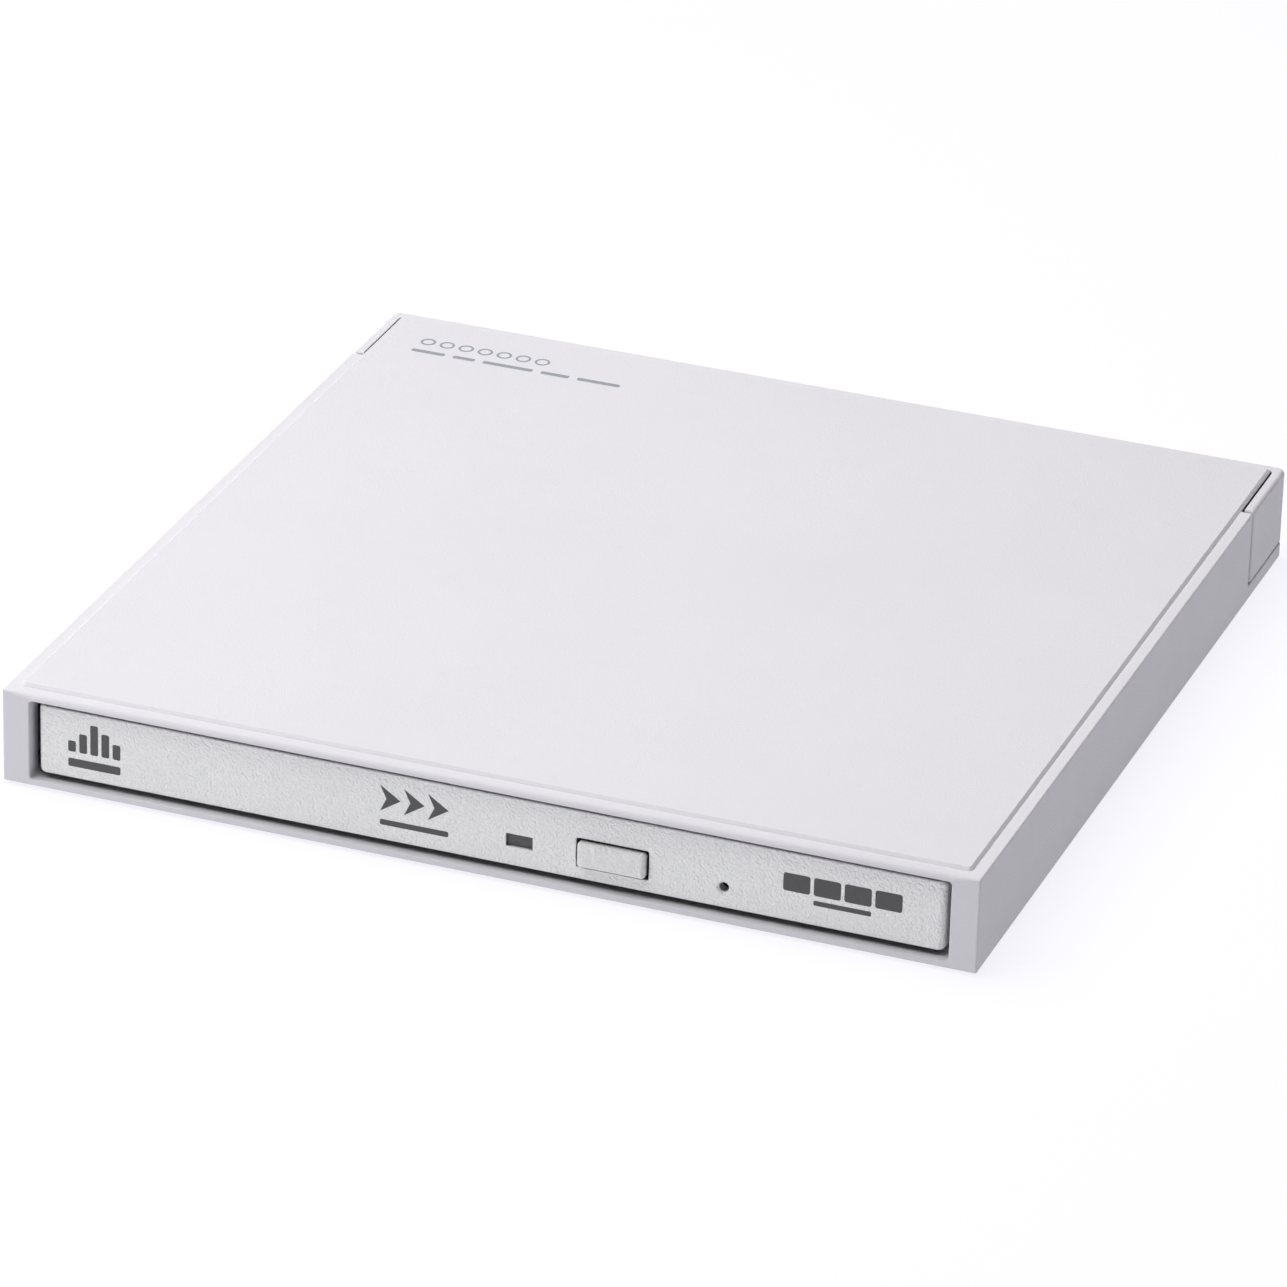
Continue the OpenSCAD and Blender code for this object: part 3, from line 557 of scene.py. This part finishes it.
def tidy(mesh):
    """Join what the booleans split: close points, and faces that lie in one plane."""
    bm = bmesh.new()
    bm.from_mesh(mesh)
    bmesh.ops.remove_doubles(bm, verts=bm.verts, dist=3 * HAIR)
    bmesh.ops.dissolve_limit(bm, angle_limit=math.radians(0.5), verts=bm.verts, edges=bm.edges)
    clean = to_mesh(bm, "clean")
    custom = clean.attributes.get("custom_normal")
    if custom:
        clean.attributes.remove(custom)
    return clean


# ---------------------------------------------------------------- case

PRINT_DEPTH = 0.02 * MM         # how far a print stands proud
CAP_GROOVE = 0.7 * MM           # groove between the case's sides and the rear cap
CAP_WALL = 1.5 * MM
PORT_RECESS = MM                # width of the recess round the port
PLATE_SIDE, PLATE_FRONT, PLATE_REAR = 1.75 * MM, 1.9 * MM, 1.8 * MM     # ledges round the top plate
MOUTH_GAP = 0.9 * MM            # from the bezel's ends to the sides of the front opening
SILL, ROOF = 0.85 * MM, 1.1 * MM        # heights of the case's front frame under and over the opening


def case_sizes():
    """Edges of the case that its rounded tools follow, measured from the boxes of the CAD nodes."""
    shell_low, shell_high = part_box("upper_shell")
    cap_low, cap_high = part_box("rear_cap")
    bezel_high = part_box("bezel")[1]
    return {
        "x": cap_high.x, "front": shell_low.y, "rear": cap_high.y,
        "under": shell_low.z, "ledge": cap_high.z, "top": shell_high.z,
        "lip": cap_low.z - 0.05 * MM, "cap_front": cap_low.y,
        "plate_x": cap_high.x - PLATE_SIDE, "plate_front": shell_low.y + PLATE_FRONT,
        "plate_rear": cap_high.y - PLATE_REAR,
        "opening_x": bezel_high.x + MOUTH_GAP,
        "sill": shell_low.z + SILL, "ceiling": cap_high.z - ROOF,
    }


ROOF_ARC = 12                   # steps round the roof's front edge


def front_edge_tool(case):
    """Solid that rounds the roof's front edge over the opening and lets it die away at the corners."""
    wide = case["ledge"] - case["ceiling"]
    centre = (case["front"] + wide, case["ledge"] - wide)
    stations = ((case["opening_x"], wide - 5 * HAIR), (case["x"], 0.2 * MM),
                (case["x"] + 0.5 * MM, 0.1 * MM))
    rows = []
    for side, order in ((-1, reversed(stations)), (1, stations)):
        for x, radius in order:
            cy, cz = case["front"] + radius, case["ledge"] - radius
            if x == case["opening_x"]:
                cy, cz = centre
            turns = [math.pi / 2 * i / ROOF_ARC for i in range(ROOF_ARC + 1)]
            arc = [(cy - radius * math.sin(a), cz + radius * math.cos(a)) for a in turns]
            outer_y, outer_z = case["front"] - MM, case["ledge"] + MM
            profile = [(outer_y, outer_z), (cy, outer_z), *arc, (outer_y, cz)]
            rows.append([(side * x, y, z) for y, z in profile])
    return lofted("front_edge", rows)


def make_case():
    """Upper shell, with the soft edges of its walls, its rear lip, its plate and its opening."""
    case = case_sizes()
    under, sides = case["under"] - HAIR, (-case["x"] - HAIR, case["x"] + HAIR)
    foot_edge = quarter(0.15 * MM)
    walls = soft_block(sides, (case["front"] - HAIR, case["cap_front"] - CAP_GROOVE + HAIR),
                       (under, case["ledge"] + HAIR), 0.25 * MM, 0.3 * MM, quarter(0.25 * MM), foot_edge)
    lip = soft_block((sides[0] - HAIR, sides[1] + HAIR),
                     (case["cap_front"] - 4 * MM, case["rear"] + HAIR),
                     (under - HAIR, case["lip"] + HAIR), 0.02 * MM, 1.1 * MM,
                     quarter(0.3 * MM), foot_edge)
    plate = soft_block((-case["plate_x"] - HAIR, case["plate_x"] + HAIR),
                       (case["plate_front"] - HAIR, case["plate_rear"] + HAIR),
                       (under + 0.5 * MM, case["top"] - PRINT_DEPTH), 0.85 * MM, 0.85 * MM,
                       chamfer(0.48 * MM, 0.41 * MM), quarter(0.05 * MM))
    envelope = combine(walls, "UNION", [lip, plate])

    def opening(inset):
        return round_box((-case["opening_x"], case["opening_x"]), (case["sill"], case["ceiling"]),
                         0.5 * MM, inset=inset)

    rim = flared_plug(opening, 0.18 * MM, lambda u, v, depth: (u, case["front"] + depth, v))
    shell = combine(welded_copy("upper_shell"), "INTERSECT", [envelope])
    shell = combine(shell, "DIFFERENCE", [front_edge_tool(case), rim])
    shade_smooth(add_piece("case_shell", tidy(shell), "case", "case_plastic",
                           replaces=["upper_shell"]))


def make_cap():
    """Rear cap, with soft outer edges and softened rims at the plate and the port."""
    case = case_sizes()
    cap_low, cap_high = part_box("rear_cap")
    envelope = soft_block((cap_low.x - HAIR, cap_high.x + HAIR), (cap_low.y - HAIR, cap_high.y + HAIR),
                          (cap_low.z - HAIR, cap_high.z + HAIR), 0.35 * MM, 1.25 * MM,
                          quarter(0.6 * MM), quarter(0.4 * MM))
    inner_x, inner_y = cap_high.x - CAP_WALL, cap_high.y - CAP_WALL

    def inside(inset):
        return round_box((-inner_x, inner_x), (cap_low.y - MM, inner_y), 0.2 * MM, MM, inset)

    rim = flared_plug(inside, 0.22 * MM, lambda u, v, depth: (u, v, case["ledge"] - depth))
    port_low, port_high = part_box("usb_shell")

    def port(inset):
        return round_box((port_low.x - PORT_RECESS, port_high.x + PORT_RECESS),
                         (port_low.z - PORT_RECESS, port_high.z + PORT_RECESS),
                         (port_high.z - port_low.z) / 2 + PORT_RECESS, inset=inset)

    mouth = flared_plug(port, 0.15 * MM, lambda u, v, depth: (u, cap_high.y - depth, v))
    cap = combine(welded_copy("rear_cap"), "INTERSECT", [envelope])
    cap = combine(cap, "DIFFERENCE", [rim, mouth])
    shade_smooth(add_piece("cap_shell", tidy(cap), "case", "case_plastic", replaces=["rear_cap"]))


# ---------------------------------------------------------------- bezel and button

BUTTON_FLANGE = 1.1 * MM        # width of the hidden flange beside the button's face
BUTTON_GAP = 0.3 * MM
BEZEL_END, BEZEL_EDGE = 1.0 * MM, 0.3 * MM      # roundings of the bezel's ends and long edges


def facing(front):
    """Placement for tools that sink into a front face: depth runs along +Y from front."""
    return lambda u, v, depth: (u, front + depth, v)


def make_bezel():
    """Bezel with broadly rounded ends and a softened rim round the button."""
    low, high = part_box("bezel")
    button_low, button_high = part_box("eject_button")
    place = facing(low.y - HAIR)

    def outline(end, edge):
        return round_box((low.x + end - HAIR, high.x - end + HAIR),
                         (low.z + edge - HAIR, high.z - edge + HAIR), 0.6 * MM)

    rings = []
    for end, depth in quarter(BEZEL_END):
        left = max(0, BEZEL_EDGE - depth)
        edge = BEZEL_EDGE - math.sqrt(max(0, BEZEL_EDGE ** 2 - left ** 2))
        rings.append([place(u, v, depth) for u, v in outline(end, edge)])
    rings.append([place(u, v, high.y - low.y + MM) for u, v in outline(0, 0)])
    envelope = lofted("bezel_envelope", rings)

    def button_rim(inset):
        beside = BUTTON_FLANGE - BUTTON_GAP
        return round_box((button_low.x + beside, button_high.x - beside),
                         (button_low.z - BUTTON_GAP, button_high.z + BUTTON_GAP), 0.3 * MM, inset=inset)

    bezel = combine(welded_copy("bezel"), "INTERSECT", [envelope])
    bezel = combine(bezel, "DIFFERENCE", [flared_plug(button_rim, 0.18 * MM, place)])
    shade_smooth(add_piece("bezel_front", tidy(bezel), "tray", "bezel_plastic", replaces=["bezel"]))


def make_button():
    """Button with a broad soft edge round its face."""
    low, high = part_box("eject_button")
    place = facing(low.y - HAIR)
    x = (low.x + BUTTON_FLANGE, high.x - BUTTON_FLANGE)
    edges = quarter(0.6 * MM)
    edges += [(-HAIR, 0.8 * MM), (-HAIR, 2.6 * MM)]
    edges += [(-2 * MM, 2.65 * MM), (-2 * MM, high.y - low.y + MM)]
    rings = [[place(u, v, depth) for u, v in round_box(x, (low.z, high.z), 0.5 * MM, inset=inset)]
             for inset, depth in edges]
    button = combine(welded_copy("eject_button"), "INTERSECT", [lofted("button_envelope", rings)])
    shade_smooth(add_piece("button_cap", tidy(button), "eject_button", "button_plastic",
                           replaces=["eject_button"]))


# ---------------------------------------------------------------- printed marks

def bezel_marks():
    """Plain marks in the places where such bezels carry prints: bars, arrows and blocks."""
    bezel_low, bezel_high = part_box("bezel")

    def on_bezel(u, v, height):
        return (u, bezel_low.y - height, v)

    bm = bmesh.new()

    def tile(u, v, radius=0.25):
        prism(bm, round_box([n * MM for n in u], [n * MM for n in v], radius * MM),
              -PRINT_DEPTH, PRINT_DEPTH, on_bezel)

    middle = (bezel_low.z + bezel_high.z) / 2 / MM
    start = bezel_low.x / MM + 4.4
    for i, height in enumerate((1.6, 2.8, 4.4, 3.4, 2.2)):      # bars
        u = start + i * 1.62
        tile((u, u + 1.12), (middle - 1.0, middle - 1.0 + height))
    tile((start, start + 7.6), (middle - 3.2, middle - 2.0))

    start = bezel_low.x / MM + 49.4
    wide, tall, centre = 2.9, 1.9, middle + 1.2
    for i in range(3):              # arrows
        u = start + i * 3.4
        arrow = [(u, centre - tall), (u + wide, centre), (u, centre + tall), (u + 0.9, centre)]
        prism(bm, [(a * MM, b * MM) for a, b in arrow], -PRINT_DEPTH, PRINT_DEPTH, on_bezel)
    tile((start, start + 9.7), (middle - 2.7, middle - 1.9), 0.2)

    start = bezel_high.x / MM - 22.2
    for i in range(4):              # blocks
        u = start + i * 4.2
        tile((u, u + 3.7), (middle - 0.6, middle + 2.0), 0.35)
    tile((start + 4.2, start + 12.1), (middle - 2.0, middle - 1.3), 0.2)
    add_piece("bezel_marks", to_mesh(bm, "bezel_marks"), "tray", "bezel_plastic", INK)


def plate_marks():
    """Row of rings over a row of dashes, near the plate's rear left corner."""
    low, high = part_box("upper_shell")

    def on_plate(u, v, height):
        return (u, v, high.z - PRINT_DEPTH + height)

    bm = bmesh.new()
    left, row = low.x + 7.9 * MM, high.y - 9.6 * MM
    for i in range(7):
        centre = left + 1.2 * MM + i * 3.0 * MM
        outer, inner = (circle(radius, 24, centre, row) for radius in (1.15 * MM, 0.8 * MM))
        section = ((outer, -PRINT_DEPTH), (outer, PRINT_DEPTH), (inner, PRINT_DEPTH), (inner, -PRINT_DEPTH))
        closed_loop(bm, [[on_plate(u, v, height) for u, v in ring] for ring, height in section])
    u = left
    for length in (5.2, 3.4, 7.8, 4.4, 6.6):
        prism(bm, round_box((u, u + length * MM), (row - 3.9 * MM, row - 3.0 * MM), 0.3 * MM),
              -PRINT_DEPTH, PRINT_DEPTH, on_plate)
        u += (length + 1.3) * MM
    add_piece("plate_marks", to_mesh(bm, "plate_marks"), "case", "case_plastic", PRINT)


# ---------------------------------------------------------------- pickup, screw, spring and ribbon

SPINDLE = Vector((*JOINTS["spindle_spin"]["pos_m"][:2], 0))
TRAVEL = Vector(JOINTS["pickup_slide"]["axis"])
ACROSS = Vector((-TRAVEL.y, TRAVEL.x, 0))


def in_pickup(u, v, z):
    """Point in the pickup's own frame: u along its travel, v across it, from the spindle's axis."""
    return SPINDLE + TRAVEL * u + ACROSS * v + Vector((0, 0, z))


LENS_AT = 23.5 * MM             # distance from the spindle to the lens at rest


def make_lens():
    """Objective lens on its carrier, with focus coils and the four wires that hang it."""
    low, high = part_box("lens_holder")
    base, top = low.z, high.z
    shoulder = base + 1.7 * MM

    def on_lens(x, y, z):
        return in_pickup(LENS_AT + x, y, z)

    def carrier_ring(inset, z):
        outline = round_box((-3.6 * MM, 3.4 * MM), (-4.8 * MM, 4.8 * MM), 0.6 * MM, inset=inset)
        return [on_lens(u, v, z) for u, v in outline]

    bm = bmesh.new()
    edge = quarter(0.35 * MM)
    rings = [carrier_ring(inset, base + depth) for inset, depth in edge]
    rings += [carrier_ring(inset, shoulder - depth) for inset, depth in reversed(edge)]
    loft(bm, rings)
    rim = top - 0.25 * MM
    spin(bm, [(0, shoulder - 0.2 * MM), (2.9 * MM, shoulder - 0.2 * MM), (2.9 * MM, rim - 0.15 * MM),
              (2.75 * MM, rim), (2.3 * MM, rim), (2.1 * MM, rim - 0.2 * MM), (0, rim - 0.2 * MM)], on_lens)
    shade_smooth(add_piece("lens_carrier", to_mesh(bm, "lens_carrier"), "lens", "black_resin",
                           replaces=["lens_holder"]))

    bm = bmesh.new()
    dome = [(0, rim - 0.3 * MM), (2.05 * MM, rim - 0.3 * MM)]
    foot = rim - 0.1 * MM
    turns = [math.pi / 2 * i / 8 for i in range(9)]
    dome += [(2.05 * MM * math.cos(a), foot + (top - foot) * math.sin(a)) for a in turns]
    spin(bm, dome, on_lens)
    shade_smooth(add_piece("objective_lens", to_mesh(bm, "objective_lens"), "lens", "lens_glass"))

    bm = bmesh.new()
    for side in (-1, 1):
        for k in range(4):
            z = base + (0.35 + 0.3 * k) * MM
            outline = round_box((-3.78 * MM, 3.58 * MM), (-1.2 * MM, 1.2 * MM), 0.3 * MM, steps=3)
            loop = [on_lens(u, side * 3.2 * MM + v, z) for u, v in outline]
            tube(bm, loop + loop[:1], 0.13 * MM, 8)
    shade_smooth(add_piece("focus_coils", to_mesh(bm, "focus_coils"), "lens", "copper_coil"))

    bm = bmesh.new()
    for side in (-1, 1):
        for z in (base + 0.5 * MM, base + 1.2 * MM):
            ends = [on_lens(u, side * 4.95 * MM, z) for u in (-3.0 * MM, 4.2 * MM)]
            tube(bm, [ends[0].lerp(ends[1], i / 6) for i in range(7)], 0.06 * MM, 6)
    wires = bpy.data.objects.new("lens_wires", to_mesh(bm, "lens_wires"))
    scene.collection.objects.link(wires)
    use(wires, SLOTS["spring_steel"])
    on_lens(4.2 * MM, 0, base)
    on_lens(-1.0 * MM, 0, base)
    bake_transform(wires)
    shade_smooth(wires)


def make_lead_screw():
    """Lead screw with a true helical thread."""
    axis = Vector(JOINTS["lead_screw_spin"]["pos_m"])
    offset = (axis - SPINDLE).dot(ACROSS)
    height = axis.z
    start, first, last, shoulder, finish = (n * MM for n in (10.2, 10.6, 47.6, 48.2, 49.65))
    pitch, crest, root, sides = 3 * MM, 1.0 * MM, 0.72 * MM, 20
    steps = round((last - first) / pitch * 14)

    def ring(u, radius_at):
        points = []
        for k in range(sides):
            a = 2 * math.pi * k / sides
            r = radius_at(u, a)
            points.append(in_pickup(u, offset + r * math.cos(a), height + r * math.sin(a)))
        return points

    def thread(u, a):
        phase = (u / pitch - a / (2 * math.pi)) % 1
        return root + (crest - root) * min(1, max(0, 2.2 * abs(phase - 0.5) - 0.25) / 0.45)

    def plain(radius):
        return lambda u, a: radius * MM

    bm = bmesh.new()
    rings = [ring(start, plain(0.5)), ring(start, plain(0.7)), ring(first - 0.1 * MM, plain(0.7))]
    rings += [ring(first + (last - first) * i / steps, thread) for i in range(steps + 1)]
    rings += [ring(last + 0.1 * MM, plain(0.7)), ring(shoulder, plain(0.7)), ring(shoulder, plain(0.5))]
    rings += [ring(finish, plain(0.5)), ring(finish, plain(0.35))]
    loft(bm, rings)
    shade_smooth(add_piece("lead_screw_thread", to_mesh(bm, "lead_screw_thread"), "lead_screw",
                           "rod_steel", replaces=["lead_screw"]))


def make_ejector_spring():
    """Close-pressed coil spring with ground ends."""
    low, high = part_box("ejector_spring")
    centre_x, centre_z = (low.x + high.x) / 2, (low.z + high.z) / 2
    wire = 0.2 * MM
    radius = (high.x - low.x) / 2 - wire
    turns, per_turn = 9, 16
    path = []
    for i in range(turns * per_turn + 1):
        a = 2 * math.pi * i / per_turn
        share = min(1, max(0, (i / per_turn - 1) / (turns - 2)))
        y = low.y + wire + (high.y - low.y - 2 * wire) * share
        path.append((centre_x + radius * math.cos(a), y, centre_z + radius * math.sin(a)))
    bm = bmesh.new()
    tube(bm, path, wire, 8)
    shade_smooth(add_piece("ejector_coil", to_mesh(bm, "ejector_coil"), "case", "spring_steel",
                           replaces=["ejector_spring"]))


def make_ribbon():
    """Flat cable that stretches out from the drive's board to the tray."""
    low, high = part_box("flex_cable")
    thick = 0.065 * MM
    rise_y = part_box("drive_board")[0].y - 0.2 * MM
    foot, head = low.z + thick, high.z - thick
    bend = 0.5 * MM
    turns = [math.pi / 2 * i / 4 for i in range(5)]
    path = [(high.y, head), (rise_y + bend, head)]
    path += [(rise_y + bend * (1 - math.sin(a)), head - bend * (1 - math.cos(a))) for a in turns[1:]]
    path += [(rise_y - bend * (1 - math.cos(a)), foot + bend * (1 - math.sin(a))) for a in turns]
    run = 28                        # pieces of the flat length
    path += [(rise_y - bend + (low.y - rise_y + bend) * i / run, foot) for i in range(1, run + 1)]
    rings = []
    for i, (y, z) in enumerate(path):
        y0, z0 = path[max(i - 1, 0)]
        y1, z1 = path[min(i + 1, len(path) - 1)]
        length = math.hypot(y1 - y0, z1 - z0)
        ny, nz = -(z1 - z0) / length, (y1 - y0) / length
        rings.append([(x, y + s * thick * ny, z + s * thick * nz)
                      for x, s in ((low.x, -1), (high.x, -1), (high.x, 1), (low.x, 1))])
    ribbon = bpy.data.objects.new("tray_ribbon", lofted("tray_ribbon", rings))
    scene.collection.objects.link(ribbon)
    use(ribbon, SLOTS["flex_film"])
    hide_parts("flex_cable")
    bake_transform(ribbon)
    shade_smooth(ribbon)


# ---------------------------------------------------------------- hub, port and board details

def make_turntable_ring():
    """Ribbed rubber ring that grips the disc."""
    disc_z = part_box("turntable")[0].z + 1.5 * MM
    crown, groove, steps = 0.05, 0.03, 120      # every fourth step is a groove in the crown
    section = ((11.0, -0.15), (11.0, 0.02), (11.15, crown), (13.45, crown), (13.6, 0.02), (13.6, -0.15))
    rings = []
    for radius, z in section:
        ring = []
        for i, (x, y) in enumerate(circle(radius * MM, steps)):
            drop = groove if z == crown and i % 4 == 0 else 0
            ring.append((SPINDLE.x + x, SPINDLE.y + y, disc_z + (z - drop) * MM))
        rings.append(ring)
    bm = bmesh.new()
    closed_loop(bm, rings)
    shade_smooth(add_piece("turntable_ring", to_mesh(bm, "turntable_ring"), "spindle", "damper_rubber"))


def make_port_contacts():
    """Twelve gilt contacts on each face of the port's tongue."""
    low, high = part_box("usb_shell")
    centre_x, centre_z, outer_y = (low.x + high.x) / 2, (low.z + high.z) / 2, high.y
    bm = bmesh.new()
    for side in (-1, 1):
        for i in range(12):
            u = centre_x + (i - 5.5) * 0.5 * MM
            outline = round_box((u - 0.13 * MM, u + 0.13 * MM), (outer_y - 5.0 * MM, outer_y - 1.2 * MM),
                                0.1 * MM, steps=2)
            prism(bm, outline, 0.33 * MM, 0.40 * MM, lambda x, y, h, s=side: (x, y, centre_z + s * h))
    shade_smooth(add_piece("port_contacts", to_mesh(bm, "port_contacts"), "case", "port_steel", GOLD))


LEG_REACH = 0.7 * MM            # of a chip's legs, beyond its body


def chip_legs(bm, node, count):
    """Bent legs along the four sides of a chip."""
    low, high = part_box(node)
    foot, knee = low.z + 0.04 * MM, low.z + (high.z - low.z) * 0.5
    centre = (low + high) / 2
    for turn in range(4):
        spin_by = Matrix.Rotation(math.pi / 2 * turn, 3, "Z")
        half = (high - low) / 2
        along, out = (half.x, half.y) if turn % 2 else (half.y, half.x)
        for i in range(count):
            v = -along * 0.86 + 2 * along * 0.86 * i / (count - 1)
            path = [(out - 0.1 * MM, v, knee), (out + 0.25 * LEG_REACH, v, knee),
                    (out + 0.5 * LEG_REACH, v, foot), (out + LEG_REACH, v, foot)]
            rings = []
            for u, w, z in path:
                ring = []
                for dw, dz in ((-0.09, 0), (0.09, 0), (0.09, 0.12), (-0.09, 0.12)):
                    p = spin_by @ Vector((u, w + dw * MM, 0))
                    ring.append((centre.x + p.x, centre.y + p.y, z + dz * MM))
                rings.append(ring)
            loft(bm, rings)


ON_BOARD = ("controller_chip", "motor_driver_chip", "flash_chip", "flex_connector", "sata_plug")
BOARD_SCREWS = ((-22, 52), (54, 31), (-26, 59), (28, 59), (58, 59), (52, 56))      # and posts, in mm


def make_board_parts():
    """Small ceramic parts and chip legs on the drive's board."""
    bm = bmesh.new()
    chip_legs(bm, "controller_chip", 18)
    chip_legs(bm, "motor_driver_chip", 9)
    add_piece("chip_legs", to_mesh(bm, "chip_legs"), "case", "screw_steel")
    board_low, board_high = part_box("drive_board")
    around = Vector((3, 3, 0)) * MM
    taken = [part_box(name) for name in ON_BOARD]
    for x, y in BOARD_SCREWS:
        screw = Vector((x, y, 0)) * MM
        taken.append((screw - around, screw + around))
    rng = random.Random(7)
    bodies, ends = bmesh.new(), bmesh.new()
    z, clear = board_high.z, 1.6 * MM
    long, wide, tall = 0.8 * MM, 0.42 * MM, 0.45 * MM
    parts = ((bodies, -0.7, 0.7, -0.02 * MM), (ends, -1.0, -0.66, 0), (ends, 0.66, 1.0, 0))
    for i in range(22):
        for j in range(6):
            x = board_low.x + (3 + i * 5.2 + rng.uniform(-0.8, 0.8)) * MM
            y = board_low.y + (2.5 + j * 5.0 + rng.uniform(-0.6, 0.6)) * MM
            turned = rng.random() < 0.4
            if x < -31 * MM and y > 42 * MM or y > board_high.y - 2 * MM or x > board_high.x - 2 * MM:
                continue
            if any(a.x - clear < x < b.x + clear and a.y - clear < y < b.y + clear for a, b in taken):
                continue
            for maker, near, far, grow in parts:
                box = round_box((near * long, far * long), (-wide - grow, wide + grow), 0.08 * MM, steps=2)
                if turned:
                    box = [(-q, p) for p, q in box]
                prism(maker, [(x + p, y + q) for p, q in box], z - 0.02 * MM, z + tall + grow,
                      lambda a, b, h: (a, b, h))
    add_piece("chip_capacitors", to_mesh(bodies, "chip_capacitors"), "case", "board_laminate", CERAMIC)
    add_piece("capacitor_ends", to_mesh(ends, "capacitor_ends"), "case", "screw_steel")


# ---------------------------------------------------------------- CAD nodes

ROUNDING = {                    # width of the softened edges, in mm
    "bottom_cover": 0.15, "led_window": 0.05,
    "tray": 0.12, "turntable": 0.12, "pickup_sled": 0.15, "usb_shell": 0.06,
}
THIN = 0.06                     # the same for every other node
PIERCED = ("tray", "bottom_cover", "pickup_sled")   # large faces with openings, kept in triangles


def dress_nodes():
    """Give every CAD node its slot's finish and soft edges."""
    for name, node in NODES.items():
        slot = node.data.materials[0].name.split(".")[0]
        use(node, SLOTS[slot])
        segments = 3 if name in ROUNDING else 2
        soften(node, ROUNDING.get(name, THIN) * MM, segments, name not in PIERCED)


make_camera()
make_studio()
dress_nodes()
make_case()
make_cap()
make_bezel()
make_button()
bezel_marks()
plate_marks()
make_lens()
make_lead_screw()
make_ejector_spring()
make_ribbon()
make_turntable_ring()
make_port_contacts()
make_board_parts()
